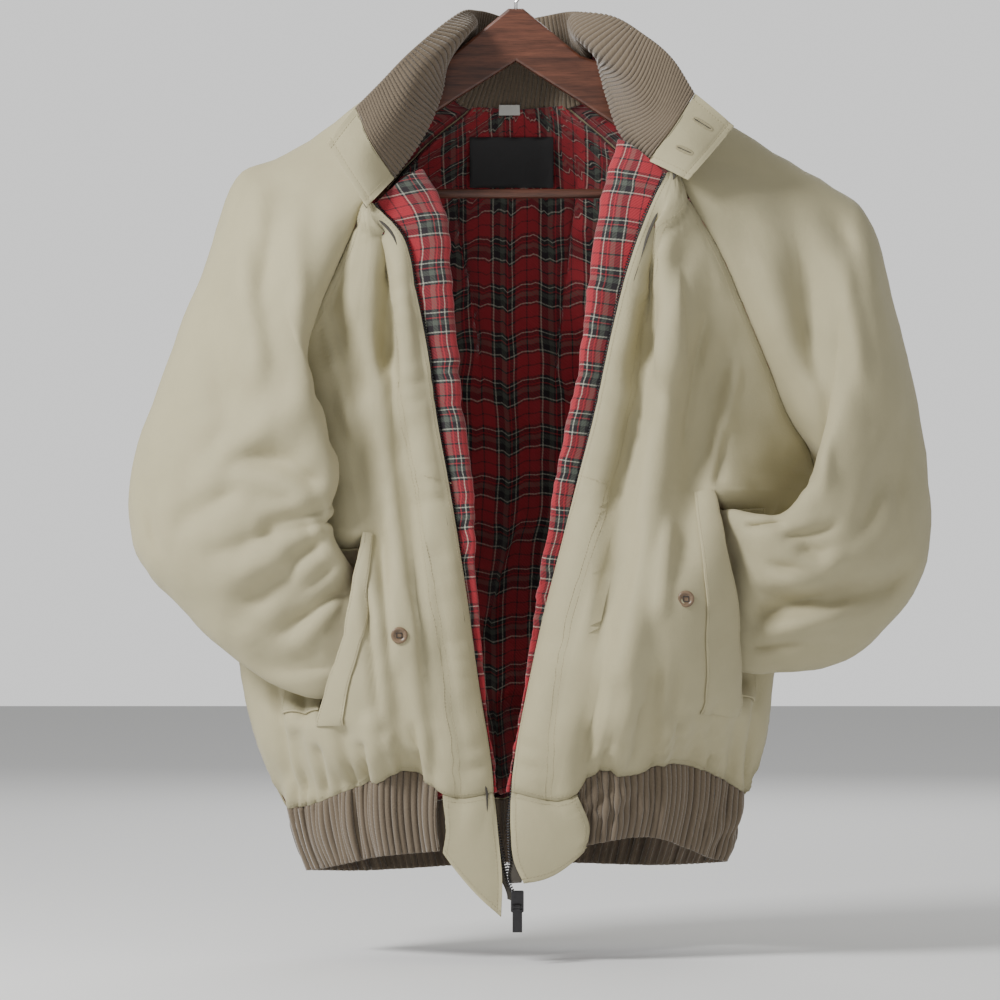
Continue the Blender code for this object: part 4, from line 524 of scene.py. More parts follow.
def pull_back(points, edges, gap=SEAM_GAP / 2):
    """Draws the named edges of a grid back into it by a small gap, square to the edge."""
    moved = points.copy()
    every = slice(None)
    places = {"row0": (0, 1), "col0": ((every, 0), (every, 1)), "col1": ((every, -1), (every, -2))}
    for edge in edges:
        rim, next_line = places[edge]
        along = np.gradient(points[rim], axis=0)
        along /= np.linalg.norm(along, axis=-1, keepdims=True)
        step = points[next_line] - points[rim]
        step = step - (step * along).sum(axis=-1, keepdims=True) * along
        moved[rim] += gap * step / np.linalg.norm(step, axis=-1, keepdims=True)
    return moved


def out(side):
    """The direction away from the middle: -1 on the wearer's right, +1 on the left."""
    return -1 if side == "right" else 1


def row_heights(side):
    low, high = MOUTH_ROWS[side]
    return steps((0, low, ROWS_HEM_TO_POCKET), (low, high, ROWS_POCKET), (high, .5, ROWS_POCKET_TO_ARM),
                 (.5, 1, ROWS_RAGLAN))


def zip_share(side):
    """Share of the zip's length where the hem lies."""
    points = np.array(ZIP[side], float)
    keys = chord_keys(points)
    return float(np.interp(-HEM_Z, -points[:, 2], keys))


def zip_edge(side, heights):
    """The middle of the zip at heights 0 (hem) to 1 (neck)."""
    return path(ZIP[side], (1 - heights) * zip_share(side))


def cloth_edge(side, heights):
    """A front's edge beside the zip."""
    return zip_edge(side, heights) + np.array([out(side) * ZIP_EDGE, 0, 0])


def outer_edge(side, heights, raglan=RAGLAN_FRONT):
    """The seam that ends a front or the back: side seam up to the underarm, then a raglan seam."""
    low = path(SIDE_SEAM[side], np.clip(heights / .5, 0, 1))
    high = path(raglan[side], np.clip((heights - .5) / .5, 0, 1))
    return np.where(heights[:, None] <= .5, low, high)


def front_surface(side, heights, shares):
    """Points of a front at a height (per row) and a share of the way from the zip edge to its seam."""
    inner = cloth_edge(side, heights)
    outer = outer_edge(side, heights)
    form = read_table(FRONT_FORM[side], heights)
    s = shares
    points = inner[:, None] + (outer - inner)[:, None] * s[..., None]
    bent = inner[:, None, 1] + (outer - inner)[:, None, 1] * s ** form[:, None, 0]
    points[..., 1] = bent - form[:, None, 1] * np.sin(math.pi * s ** BULGE_LEAN)
    lift = read_table(HEM_LIFT[side], s.ravel()).reshape(s.shape)
    points[..., 2] += lift * np.exp(-(heights[:, None] / HEM_REACH) ** 2)
    past_block = ramp((s - BLOCK_SHARE[side] + .03) / .12) * ramp((1 - s) / .2)
    points[..., 1] += HEM_TUCK * np.exp(-(heights[:, None] / TUCK_REACH) ** 2) * past_block
    width = np.linalg.norm(outer - inner, axis=1)[:, None]
    edge_fade = ramp(s * width / FOLD_FADE) * ramp((1 - s) * width / FOLD_FADE) * ramp((1 - heights[:, None]) / .06)
    points[..., 1] += fold_depth(points, FRONT_FOLDS[side]) * edge_fade
    return points


def mouth_shares(side, heights):
    """Share of the way from zip edge to seam at which the pocket mouth's line crosses each row. Below the mouth
    it stays as it is, and above it leads to the neck."""
    inner = cloth_edge(side, heights)
    outer = outer_edge(side, heights)
    line = np.array(MOUTH[side], float)
    order = np.argsort(line[:, 1])
    s = np.full(len(heights), MOUTH_LINE_TOP)
    for _ in range(8):
        z = inner[:, 2] + (outer[:, 2] - inner[:, 2]) * s
        x = np.interp(z, line[order, 1], line[order, 0])
        s = np.clip((x - inner[:, 0]) / (outer[:, 0] - inner[:, 0]), *MOUTH_LIMITS)
    low, high = MOUTH_ROWS[side]
    s_low, s_high = np.interp([low, high], heights, s)
    above = np.clip((heights - high) / (1 - high), 0, 1)
    s = np.where(heights < low, s_low, s)
    return np.where(heights > high, s_high + (MOUTH_LINE_TOP - s_high) * above, s)


def front_grid(side):
    """The front's points, and the second set of points past the pocket mouth."""
    heights = row_heights(side)
    mouth = mouth_shares(side, heights)
    block = BLOCK_SHARE[side]
    parts = [steps((0, .5, 1), (.5, 1, COLS_BLOCK - 1)), steps((0, 1, COLS_TO_MOUTH)),
             steps((0, 1, COLS_TO_SIDE))]
    width = np.linalg.norm(outer_edge(side, heights) - zip_edge(side, heights), axis=1)
    near = np.minimum(FACING_STRIP / width, block / 2)
    shares = np.concatenate([
        np.stack([np.interp(parts[0], [0, .5, 1], [0, share, block]) for share in near]),
        block + parts[1][None, 1:] * (mouth[:, None] - block),
        mouth[:, None] + parts[2][None, 1:] * (1 - mouth[:, None])], axis=1)
    points = front_surface(side, heights, shares)
    column = (COLS_BLOCK + COLS_TO_MOUTH) * FINE
    low, high = MOUTH_ROWS[side]
    plateau = ramp((heights - low) / PUSH_RAMP[0]) * ramp((high - heights) / PUSH_RAMP[1])
    fall = np.clip(1 - (shares - mouth[:, None]) / (1 - mouth[:, None]), 0, 1)
    push = MOUTH_PUSH[side] * plateau[:, None] * fall ** PUSH_FALL
    past = points[:, column].copy()
    past[:, 1] += push[:, column]
    pushed = points.copy()
    pushed[:, column + 1:, 1] += push[:, column + 1:]
    rows = (ROWS_HEM_TO_POCKET * FINE, (ROWS_HEM_TO_POCKET + ROWS_POCKET) * FINE)
    return pushed, (column, rows[0], rows[1], past)


def sleeve_ring0(side):
    """The armhole: round from the shoulder over the back, the underarm and the front."""
    neck = np.linspace(0, 1, NECK_STEPS * FINE + 1)
    over = read_table(NECK_SLEEVE[side], neck)
    seam = np.linspace(0, 1, ROWS_RAGLAN * FINE + 1)
    back = path(RAGLAN_BACK[side], seam)[::-1]
    front = path(RAGLAN_FRONT[side], seam)
    half = NECK_STEPS * FINE // 2
    return np.concatenate([over[half:-1], back[:-1], front[:-1], over[:half]])


def sleeve_ring(row, count):
    """One section of a sleeve as a loop of points."""
    v = dict(zip(SLEEVE_COLUMNS, row))
    angle = math.pi * np.interp(np.arange(count) / count * STEPS_ROUND, [0, BACK_STEP, v["turn"], STEPS_ROUND],
                                [0, .5, 1, 2])
    c, sn = np.cos(angle), np.sin(angle)
    toward = (1 - c) / 2
    back = np.clip(sn, 0, None)
    round_body = toward**2 * back / ROUND_BODY_PEAK
    x = (v["ox"] + v["ix"]) / 2 + (v["ox"] - v["ix"]) / 2 * c + math.copysign(v["outset"], v["ox"]) * round_body
    z = (v["oz"] + v["iz"]) / 2 + (v["oz"] - v["iz"]) / 2 * c - v["drop"] * round_body
    y = v["oy"] + (v["iy"] - v["oy"]) * np.where(sn > 0, toward ** v["late"], toward)
    y = y + v["back"] * back * (1 - v["thin"] * toward) - v["front"] * np.clip(-sn, 0, None)
    return np.stack([x, y, z], axis=-1)


def sleeve_grid(side):
    """All sections of a sleeve, armhole first."""
    first = sleeve_ring0(side)
    rings = np.array([first] + [sleeve_ring(row, len(first)) for row in SLEEVE[side]])
    keys = np.arange(len(rings))
    at = steps(*[(k, k + 1, n) for k, n in enumerate(SLEEVE_STEPS)])
    points = smooth(keys, rings.reshape(len(rings), -1), at).reshape(len(at), len(first), 3)
    angle = 2 * math.pi * np.arange(len(first)) / len(first)
    facing = np.clip(-np.sin(angle) * 1.6, 0, 1)[None]
    along = ramp(at / SLEEVE_FOLD_ENDS[0]) * ramp((SLEEVE_FOLD_ENDS[1] - at) / 1.5)
    points[..., 1] += fold_depth(points, SLEEVE_FOLDS[side]) * facing * along[:, None]
    return points


def back_grid():
    """The back, from the right side seam to the left one."""
    edges = [outer_edge(side, row_heights(side), RAGLAN_BACK) for side in SIDES]
    heights = (row_heights("right") + row_heights("left")) / 2
    form = read_table(BACK_FORM, heights)
    s = steps((0, 1, COLS_BACK))
    points = edges[0][:, None] + (edges[1] - edges[0])[:, None] * s[None, :, None]
    arch = 1 - np.abs(2 * s - 1) ** 2.6
    depth = form[:, :1] * arch[None]
    edge_y = edges[0][:, None, 1] * (1 - s)[None] + edges[1][:, None, 1] * s[None]
    points[..., 1] = edge_y + (depth - edge_y * arch[None])
    neck_dip = NECK_BACK_DIP * np.sin(math.pi * s)[None] * ramp((heights - .9) / .1)[:, None]
    points[..., 2] -= neck_dip
    fade = ramp(s / .12) * ramp((1 - s) / .12)
    points[..., 1] -= fold_depth(points, BACK_FOLDS) * fade[None] * ramp((1 - heights) / .08)[:, None]
    return points


def lay_on(grid, outward, distance):
    """A grid moved off the sheet it was taken from."""
    return grid + outward * normals(grid) * distance


def grid_rows(grid, at):
    """Rows of a grid read between its own rows."""
    low = np.clip(np.floor(at).astype(int), 0, len(grid) - 2)
    t = (at - low)[:, None, None]
    return grid[low] * (1 - t) + grid[low + 1] * t


def neck_line(shell):
    """The neck seam as it runs over the shell's own points, right zip to left zip."""
    half = NECK_STEPS * FINE // 2

    def sleeve_head(side):
        ring = shell["sleeves"][side][0]
        return np.concatenate([ring[-half:], ring[:half + 1]])
    fronts = {side: shell["fronts"][side][0][-1] for side in SIDES}
    return np.concatenate([fronts["right"][:-1], sleeve_head("right")[:-1], shell["back"][-1][:-1],
                           sleeve_head("left")[::-1][:-1], fronts["left"][::-1]])


def share_nearest(points, target):
    """Share of a polyline's length at its point nearest to a target."""
    near = np.argmin(np.linalg.norm(points - np.asarray(target, float), axis=1))
    return chord_keys(points)[near]


def collar_base(shell, at):
    """Points of the neck seam between the two collar tabs, at shares of that stretch."""
    line = neck_line(shell)
    ends = [share_nearest(line, NECK_SLEEVE[side][1][1:]) for side in SIDES]
    return polyline(line, ends[0] + (ends[1] - ends[0]) * at)


def collar_grid(shell, columns, rows):
    """Rows from the neck seam over the fold to the free edge."""
    at = np.linspace(0, 1, columns)
    base = collar_base(shell, at)
    table = np.array(COLLAR, float)
    fold = smooth(table[:, 0], table[:, 1:4], at)
    free = smooth(table[:, 0], table[:, 4:7], at)
    stack = np.stack([base, fold, free])
    grid = smooth([0, .5, 1], stack.reshape(3, -1), np.linspace(0, 1, rows)).reshape(rows, columns, 3)
    return pull_back(grid, ["row0"], COLLAR_SEAM_GAP)


def hem_line(shell):
    """The hem where the waistband is sewn on: right block, right side, back, left side, left block."""
    right, left = (shell["fronts"][side][0][0][COLS_BLOCK * FINE:] for side in SIDES)
    return np.concatenate([right[:-1], shell["back"][0][:-1], left[::-1]])


def band_grid(shell, columns, rows):
    line = hem_line(shell)
    at = np.linspace(BAND_END, 1 - BAND_END, columns)
    top = polyline(line, at)
    low = read_table(BAND_BOTTOM, at)
    bottom = top.copy()
    bottom[:, :2] *= low[:, 1:2]
    bottom[:, 2] = low[:, 0]
    drop = np.linspace(0, 1, rows)[:, None, None]
    grid = top + (bottom - top) * drop
    bulge = BAND_BULGE * np.sin(math.pi * drop[..., 0])
    away = grid[..., :2] / np.linalg.norm(grid[..., :2], axis=-1, keepdims=True)
    grid[..., :2] += away * bulge[..., None]
    return pull_back(grid, ["row0"], BAND_SEAM_GAP)


def block_grid(shell, side):
    """A hem block, its top edge on the front's hem; columns run from the zip outwards."""
    top = shell["fronts"][side][0][0][:COLS_BLOCK * FINE + 1]
    w = np.linspace(0, 1, BLOCK_ROWS)
    lines = {}
    for edge, table in BLOCK[side].items():
        flat = path([(x, 0, z) for x, z in table], w)
        flat[:, 1] = BLOCK_Y[0] + (BLOCK_Y[1] - BLOCK_Y[0]) * w
        lines[edge] = flat
    q = np.linspace(0, 1, len(top))
    grid = lines["zip"][:, None] + (lines["outer"] - lines["zip"])[:, None] * q[None, :, None]
    grid += (top - grid[0])[None] * (1 - ramp(w * BLOCK_EASE))[:, None, None]
    grid[..., 2] += BLOCK_SAG[side] * np.sin(math.pi * q)[None] * w[:, None]
    grid[..., 1] -= BLOCK_BULGE * np.sin(math.pi * w)[:, None] * np.cos(math.pi * (q - .5) / 2)[None]
    return grid


def front_edge(points):
    """Along a front's zip edge: the direction into the cloth, and the direction behind it."""
    step = points[:, 1] - points[:, 0]
    step = unit_rows(step)
    behind = normals(points[:, :2])[:, 0]
    return step, behind * np.where(behind[:, 1:2] > 0, 1, -1)


def lining_roll(shell, side):
    """The front lining: from behind the zip it rolls towards the middle, turns and runs back inside."""
    points = shell["fronts"][side][0]
    heights = row_heights(side)
    show, reach = read_table(LINING_ROLL[side], heights).T
    edge = points[:, 0]
    inward = -out(side)
    depth = SHELL_T / 2 + LAY_GAP + TAPE_T + LAY_GAP + LINING_T / 2
    turn = np.minimum(LINING_TURN, show * .4 + 1.6)
    stations = [
        (-5, .7),
        (ZIP_EDGE, .7),
        (show * .5 + ZIP_EDGE + .8, -turn * .4),
        (show * .92 + ZIP_EDGE + .6, turn * .2),
        (show + ZIP_EDGE + .6, turn),
        (show * .8 + ZIP_EDGE, turn * 1.9),
        (-reach, turn * 2 + 1),
    ]
    step, behind = front_edge(points)
    grid = np.repeat(edge[:, None], len(stations), axis=1)
    for k, (across, back) in enumerate(stations):
        across, back = (np.broadcast_to(v, len(edge))[:, None] for v in (across, back))
        level = np.clip(across - ZIP_EDGE, 0, None)
        grid[:, k] += level * np.array([inward, 0, 0]) - (across - level) * step + behind * (depth + back)
    rise = ramp((heights - .8) / .2) * LINING_RISE
    rise = rise[:, None] * np.clip((grid[..., 0] - edge[:, None, 0]) * inward / LINING_SHOW, 0, 1)
    grid[..., 2] += rise
    grid[..., 1] += rise * LINING_LEAN
    return grid


# ---------------------------------------------------------------- finer form
def uneven(t, seed):
    """A wave of about one period per unit of t, uneven in width and height, between -1 and 1."""
    shift = .35 * np.sin(2 * math.pi * (.31 * t + seed)) + .2 * np.sin(2 * math.pi * (.13 * t + 2.3 * seed))
    swell = .7 + .3 * np.sin(2 * math.pi * (.23 * t + 1.7 * seed))
    return swell * np.sin(2 * math.pi * (t + shift))


def reach(points, axis):
    """Distance of each point of a grid from its first row (axis 0) or its first column (axis 1), and the whole."""
    walk = np.linalg.norm(np.diff(points, axis=axis), axis=-1).cumsum(axis=axis)
    start = np.zeros_like(walk.take([0], axis=axis))
    far = np.concatenate([start, walk], axis=axis)
    return far, far.take([-1], axis=axis)


def valley(distance, depth, half_width):
    return depth * np.exp(-(distance / half_width) ** 2)


def seam_form(points, edges, seed=.1):
    """How far a sheet sinks along its sewn edges, with the small puckers beside them, and where that is."""
    up, tall = reach(points, 0)
    across, wide = reach(points, 1)
    off = {"row0": (up, across), "row1": (tall - up, across), "col0": (across, up), "col1": (wide - across, up)}
    sink = np.zeros(points.shape[:2])
    near = np.zeros(points.shape[:2])
    pitch, amount, fade = PUCKER
    for k, edge in enumerate(edges):
        distance, along = off[edge]
        sink += valley(distance, *SEAM_SINK) + valley(distance, amount, fade) * uneven(along / pitch, seed + .37 * k)
        near = np.maximum(near, valley(distance, 1, 2 * SEAM_SINK[1]))
    return sink, near


def cells(rows, cols, closed):
    """Corner indices of a grid's cells, a row of four for each."""
    i, j = np.meshgrid(np.arange(rows - 1), np.arange(cols if closed else cols - 1), indexing="ij")
    k = (j + 1) % cols
    return np.stack([i * cols + j, i * cols + k, (i + 1) * cols + k, (i + 1) * cols + j], axis=-1).reshape(-1, 4)


def cloth(name, node, points, thickness, finishes, closed=False, outward=1, raised=None, slit=None, near=None):
    """A thin wall on a grid of points, with its weave's coordinates in metres and soft edges. It replaces a node.

    finishes: outer and inner material. slit: as front_grid gives it. near: how close each point is to a seam."""
    rows, cols = points.shape[:2]
    unit = outward * normals(points, closed)
    lift = thickness / 2 if raised is None else thickness / 2 + raised[..., None]
    outer = (points + unit * lift).reshape(-1, 3)
    inner = (points - unit * thickness / 2).reshape(-1, 3)
    vertices = [outer, inner]
    quads = cells(rows, cols, closed)
    quads_past = quads
    across, up = reach(points, 1)[0], reach(points, 0)[0]
    flat = np.stack([across - across[:, [cols // 2]], up], axis=-1).reshape(-1, 2) * MM
    grain = [flat, flat]
    close = np.zeros(rows * cols) if near is None else near.ravel()
    closeness = [close, close]
    past_of = np.arange(rows * cols)
    if slit:
        column, low, high, past = slit
        fresh = np.arange(low + 1, high) * cols + column
        past_of[fresh] = 2 * rows * cols + np.arange(len(fresh))
        side = unit[low + 1:high, column] * thickness / 2
        vertices += [past[low + 1:high] + side, past[low + 1:high] - side]
        grain += [flat[fresh]] * 2
        closeness += [np.ones(len(fresh))] * 2
        is_past = (quads[:, 0] % cols) >= column
        quads_past = np.where(is_past[:, None], past_of[quads], quads)
    count, extra = rows * cols, len(past_of[past_of >= 2 * rows * cols])
    partner = {v: v + count for v in range(count)}
    partner.update({2 * count + k: 2 * count + extra + k for k in range(extra)})
    turn = slice(None, None, -1 if outward < 0 else 1)
    mesh = bmesh.new()
    grain_layer = mesh.loops.layers.uv.new("cloth")
    seam_layer = mesh.verts.layers.float.new("seam")
    grain, closeness = np.concatenate(grain), np.concatenate(closeness)
    corners = [mesh.verts.new(v) for v in np.concatenate(vertices) * MM]
    # closeness to a seam or a rib's trough: where painted shade darkens the colour
    for corner, value in zip(corners, closeness):
        corner[seam_layer] = value
    edges_of = {}

    def add(loop, finish):
        face = mesh.faces.new([corners[v] for v in loop])
        face.material_index = finish
        face.smooth = True
        for corner, v in zip(face.loops, loop):
            corner[grain_layer].uv = grain[v]

    for quad in quads_past:
        loop = [int(v) for v in quad[turn]]
        add(loop, 0)
        add([partner[v] for v in loop[::-1]], 1)
        for a, b in zip(loop, loop[1:] + loop[:1]):
            edges_of[a, b] = True
    rims = [(a, b) for a, b in edges_of if (b, a) not in edges_of]
    for a, b in rims:
        add([b, a, partner[a], partner[b]], 0)
    mesh.verts.index_update()
    mesh.edges.ensure_lookup_table()
    rim_edges = []
    for a, b in rims:
        for v, w in ((a, b), (partner[a], partner[b])):
            rim_edges.append(mesh.edges.get((corners[v], corners[w])))
    bmesh.ops.bevel(mesh, geom=[e for e in rim_edges if e], offset=thickness * EDGE_BEVEL * MM, segments=2, profile=.5,
                    affect="EDGES")
    item = finished(name, mesh, finishes)
    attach(item, BODY)
    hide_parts(node)
    wide, tall = reach(points, 1)[1].max(), reach(points, 0)[1].max()
    if closed:
        wide = np.linalg.norm(np.roll(points, -1, axis=1) - points, axis=-1).sum(axis=1).max()
        tall = reach(points, 0)[1].mean()
    return item


def finished(name, mesh, finishes):
    """Links a bmesh as an object with its materials."""
    data = bpy.data.meshes.new(name)
    mesh.to_mesh(data)
    mesh.free()
    for finish in finishes:
        data.materials.append(finish)
    item = bpy.data.objects.new(name, data)
    bpy.context.scene.collection.objects.link(item)
    return item


def crumple(points):
    """Uneven soft ridges all over a sheet, the same at a seam's two sides because they follow the place."""
    height, short, long = CRUMPLE
    draw = np.random.default_rng(CRUMPLE_SEED)
    total = np.zeros(points.shape[:2])
    for _ in range(CRUMPLE_WAVES):
        way = draw.normal(size=3)
        way /= np.linalg.norm(way)
        wave = draw.uniform(short, long)
        bend = 9 * np.sin(points @ draw.normal(size=3) / long + draw.uniform(0, 6))
        total += (wave / long) * (1 - 2 * np.abs(np.sin(math.pi * (points @ way + bend) / wave)) ** .8)
    return height * total / 2.6


def evened(points, closed=False, rounds=2):
    """Draws bunched rows and columns of a grid apart a little."""
    points = points.copy()
    for _ in range(rounds):
        points[1:-1] = points[1:-1] / 2 + (points[:-2] + points[2:]) / 4
        if closed:
            points[1:] = points[1:] / 2 + (np.roll(points[1:], 1, axis=1) + np.roll(points[1:], -1, axis=1)) / 4
    return points


# ---------------------------------------------------------------- the cloth's surfaces
def made_front(side):
    """A front with its creases, its gathers over the waistband and the valley of its facing's stitching."""
    points, slit = front_grid(side)
    column, low, high, past = slit
    up, _ = reach(points, 0)
    across, wide = reach(points, 1)
    fade = ramp(across / FOLD_FADE) * ramp((wide - across) / FOLD_FADE)
    press = (FRONT_GAIN * fold_depth(points, FRONT_CREASES[side])
             + FOLD_EXTRA * fold_depth(points, FRONT_FOLDS[side]) * ramp((across - FACING_WIDTH) / FOLD_START)) * fade
    rise, width = NECK_FILL_REACH
    press -= NECK_FILL * ramp((points[..., 2] - NECK_FILL_Z) / rise) * ramp((width - across) / rise) * fade
    pitch, amount, fall = GATHER
    past_block = ramp((across - FACING_WIDTH * 1.6) / 20)
    press += valley(up, amount, fall) * uneven(across / pitch, .2 + .4 * out(side)) * past_block
    press += valley(across - FACING_WIDTH, *FACING_GROOVE) + crumple(points) * fade
    facing = np.sin(math.pi * np.clip(across / FACING_WIDTH, 0, 1))
    press -= FACING_PUFF * facing ** .7
    pucker_pitch, pucker, _ = PUCKER
    press -= pucker * 2 * uneven(up / (pucker_pitch * 3), .6) * facing * (across < FACING_WIDTH)
    sink, near = seam_form(points, ("row0", "row1", "col1"), .3 + .2 * out(side))
    points = points - out(side) * normals(points) * (press + sink)[..., None]
    past = past - out(side) * normals(points)[:, column] * press[:, column, None]
    # painted shade also goes into the valley of the facing's stitching
    near = np.maximum(near, valley(across - FACING_WIDTH, .8, 3))
    return points, (column, low, high, past), near


def made_sleeve(side):
    """A sleeve with its creases, and how near each point is to the armhole's seam."""
    points = sleeve_grid(side)
    ring = 2 * math.pi * np.arange(points.shape[1]) / points.shape[1]
    facing = np.clip(-np.sin(ring) * 1.6, 0, 1)[None]
    fade = ramp((np.arange(len(points)) / FINE - .3) / .8)[:, None]
    hidden = np.clip(np.sin(ring) * 1.6, 0, 1)[None]
    creases = CREASE_GAIN * fold_depth(points, SLEEVE_CREASES[side])
    press = (creases + FOLD_EXTRA * fold_depth(points, SLEEVE_FOLDS[side])) * facing + creases * hidden * HIDDEN_SHARE
    points[..., 1] += press * fade * np.where(facing > 0, 1, -1)
    points = evened(points, closed=True)
    points = points + out(side) * normals(points, closed=True) * (crumple(points) * fade)[..., None]
    up, _ = reach(points, 0)
    around, _ = reach(points, 1)
    pitch, amount, fall = PUCKER
    sink = valley(up, *SEAM_SINK) + valley(up, amount, fall) * uneven(around / pitch, .5)
    near = valley(up, 1, 2 * SEAM_SINK[1])
    points = points + out(side) * normals(points, closed=True) * sink[..., None]
    return points, near


def made_back():
    """The back with its creases and its gathers over the waistband."""
    points = back_grid()
    across, wide = reach(points, 1)
    up, _ = reach(points, 0)
    fade = ramp(across / FOLD_FADE) * ramp((wide - across) / FOLD_FADE)
    press = (CREASE_GAIN * fold_depth(points, BACK_CREASES) + FOLD_EXTRA * fold_depth(points, BACK_FOLDS)) * fade
    pitch, amount, fall = GATHER
    press += valley(up, amount, fall) * uneven(across / pitch, .9) * fade + crumple(points) * fade
    sink, near = seam_form(points, ("row0", "row1", "col0", "col1"), .7)
    return points + normals(points) * (press + sink)[..., None], near


def quilting(points):
    """How far the padding stands up between two families of waved quilting lines."""
    wave = QUILT_WAVE * np.sin(2 * math.pi * points[..., 0] / QUILT_LENGTH)
    rise = np.abs(np.sin(math.pi * (points[..., 2] + wave) / QUILT_PITCH))
    cross = np.abs(np.sin(math.pi * (points[..., 2] - wave) / QUILT_PITCH))
    return QUILT_RAISE * (rise * cross) ** .35


# ---------------------------------------------------------------- repeated small pieces
def repeat_tree(name, shape):
    """Sets a small shape on every point, turned by the points' two direction attributes."""
    tree = bpy.data.node_groups.new(name, "GeometryNodeTree")
    tree.is_modifier = True
    face = tree.interface
    face.new_socket("Places", in_out="INPUT", socket_type="NodeSocketGeometry")
    for socket, default in (("Length", .0026), ("Width", .0007), ("Height", .0006)):
        face.new_socket(socket, in_out="INPUT", socket_type="NodeSocketFloat").default_value = default
    face.new_socket("Finish", in_out="INPUT", socket_type="NodeSocketMaterial")
    face.new_socket("Pieces", in_out="OUTPUT", socket_type="NodeSocketGeometry")
    nodes, links = tree.nodes, tree.links
    source, sink = nodes.new("NodeGroupInput"), nodes.new("NodeGroupOutput")
    size = nodes.new("ShaderNodeCombineXYZ")
    for k, socket in enumerate(("Length", "Width", "Height")):
        links.new(source.outputs[socket], size.inputs[k])
    if shape == "thread":
        form = nodes.new("GeometryNodeMeshUVSphere")
        form.inputs["Segments"].default_value = 6
        form.inputs["Rings"].default_value = 4
        form.inputs["Radius"].default_value = .5
    else:
        form = nodes.new("GeometryNodeMeshCube")
    sized = nodes.new("GeometryNodeTransform")
    links.new(form.outputs["Mesh"], sized.inputs["Geometry"])
    links.new(size.outputs[0], sized.inputs["Scale"])
    turns = []
    for attribute, axis in (("along", "X"), ("face", "Z")):
        read = nodes.new("GeometryNodeInputNamedAttribute")
        read.data_type = "FLOAT_VECTOR"
        read.inputs["Name"].default_value = attribute
        turn = nodes.new("FunctionNodeAlignRotationToVector")
        turn.axis = axis
        if turns:
            turn.pivot_axis = "X"
            links.new(turns[-1].outputs["Rotation"], turn.inputs["Rotation"])
        links.new(read.outputs["Attribute"], turn.inputs["Vector"])
        turns.append(turn)
    places = nodes.new("GeometryNodeInstanceOnPoints")
    links.new(source.outputs["Places"], places.inputs["Points"])
    links.new(sized.outputs["Geometry"], places.inputs["Instance"])
    links.new(turns[-1].outputs["Rotation"], places.inputs["Rotation"])
    real = nodes.new("GeometryNodeRealizeInstances")
    links.new(places.outputs["Instances"], real.inputs["Geometry"])
    finish = nodes.new("GeometryNodeSetMaterial")
    links.new(real.outputs["Geometry"], finish.inputs["Geometry"])
    links.new(source.outputs["Finish"], finish.inputs["Material"])
    links.new(finish.outputs["Geometry"], sink.inputs["Pieces"])
    return tree


def interpolated(far, values, at):
    """Rows of three values at distances far, read at other distances."""
    return np.stack([np.interp(at, far, values[:, k]) for k in range(3)], axis=-1)


def repeated(name, lines, shape, pitch, size, finish):
    """Small pieces every pitch along lines of (points, facing directions), made by Geometry Nodes."""
    places, along, facing = [], [], []
    for line, face in lines:
        far = np.concatenate([[0], step_lengths(line).cumsum()])
        at = np.arange(pitch / 2, far[-1], pitch)
        before, here, after = (interpolated(far, line, at + way) for way in (-.3, 0, .3))
        places.append(here)
        along.append(unit_rows(after - before))
        facing.append(unit_rows(interpolated(far, face, at)))
    places, along, facing = (np.concatenate(values) for values in (places, along, facing))
    data = bpy.data.meshes.new(name)
    data.from_pydata((places * MM).tolist(), [], [])
    for attribute, values in (("along", along), ("face", facing)):
        data.attributes.new(attribute, "FLOAT_VECTOR", "POINT").data.foreach_set("vector", values.ravel())
    item = bpy.data.objects.new(name, data)
    bpy.context.scene.collection.objects.link(item)
    tree = bpy.data.node_groups.get(f"jacket_{shape}") or repeat_tree(f"jacket_{shape}", shape)
    modifier = item.modifiers.new("pieces", "NODES")
    modifier.node_group = tree
    sockets = {s.name: s.identifier for s in tree.interface.items_tree if s.item_type == "SOCKET"}
    for socket, value in zip(("Length", "Width", "Height"), size):
        modifier[sockets[socket]] = value * MM
    modifier[sockets["Finish"]] = finish
    made = bpy.data.meshes.new_from_object(item.evaluated_get(bpy.context.evaluated_depsgraph_get()))
    item.modifiers.clear()
    item.data = made
    made.shade_smooth()
    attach(item, BODY)
    return item


def traced(points, unit, rows, cols, lift):
    """A line over a sheet: through fractional rows and columns, lifted off it, with the way that it faces."""
    rows, cols = np.broadcast_arrays(np.asarray(rows, float), np.asarray(cols, float))
    i = np.clip(np.floor(rows).astype(int), 0, points.shape[0] - 2)
    j = np.clip(np.floor(cols).astype(int), 0, points.shape[1] - 2)
    s, t = (rows - i)[:, None], (cols - j)[:, None]

    def read(grid):
        return ((grid[i, j] * (1 - s) + grid[i + 1, j] * s) * (1 - t)
                + (grid[i, j + 1] * (1 - s) + grid[i + 1, j + 1] * s) * t)
    face = unit_rows(read(unit))
    return read(points) + face * lift, face


def inset_lines(points, unit, edges, inset, lift):
    """Lines over a sheet beside its named edges, a set distance in from them."""
    up, tall = reach(points, 0)
    across, wide = reach(points, 1)
    rows, cols = (np.arange(n) for n in points.shape[:2])
    lines = []
    for edge in edges:
        if edge in ("col0", "col1"):
            far = [inset if edge == "col0" else w - inset for w in wide[:, 0]]
            at = [np.interp(f, a, cols) for f, a in zip(far, across)]
            lines.append(traced(points, unit, rows, at, lift))
        else:
            far = [inset if edge == "row0" else h - inset for h in tall[0]]
            at = [np.interp(f, up[:, j], rows) for j, f in enumerate(far)]
            lines.append(traced(points, unit, at, cols, lift))
    return lines


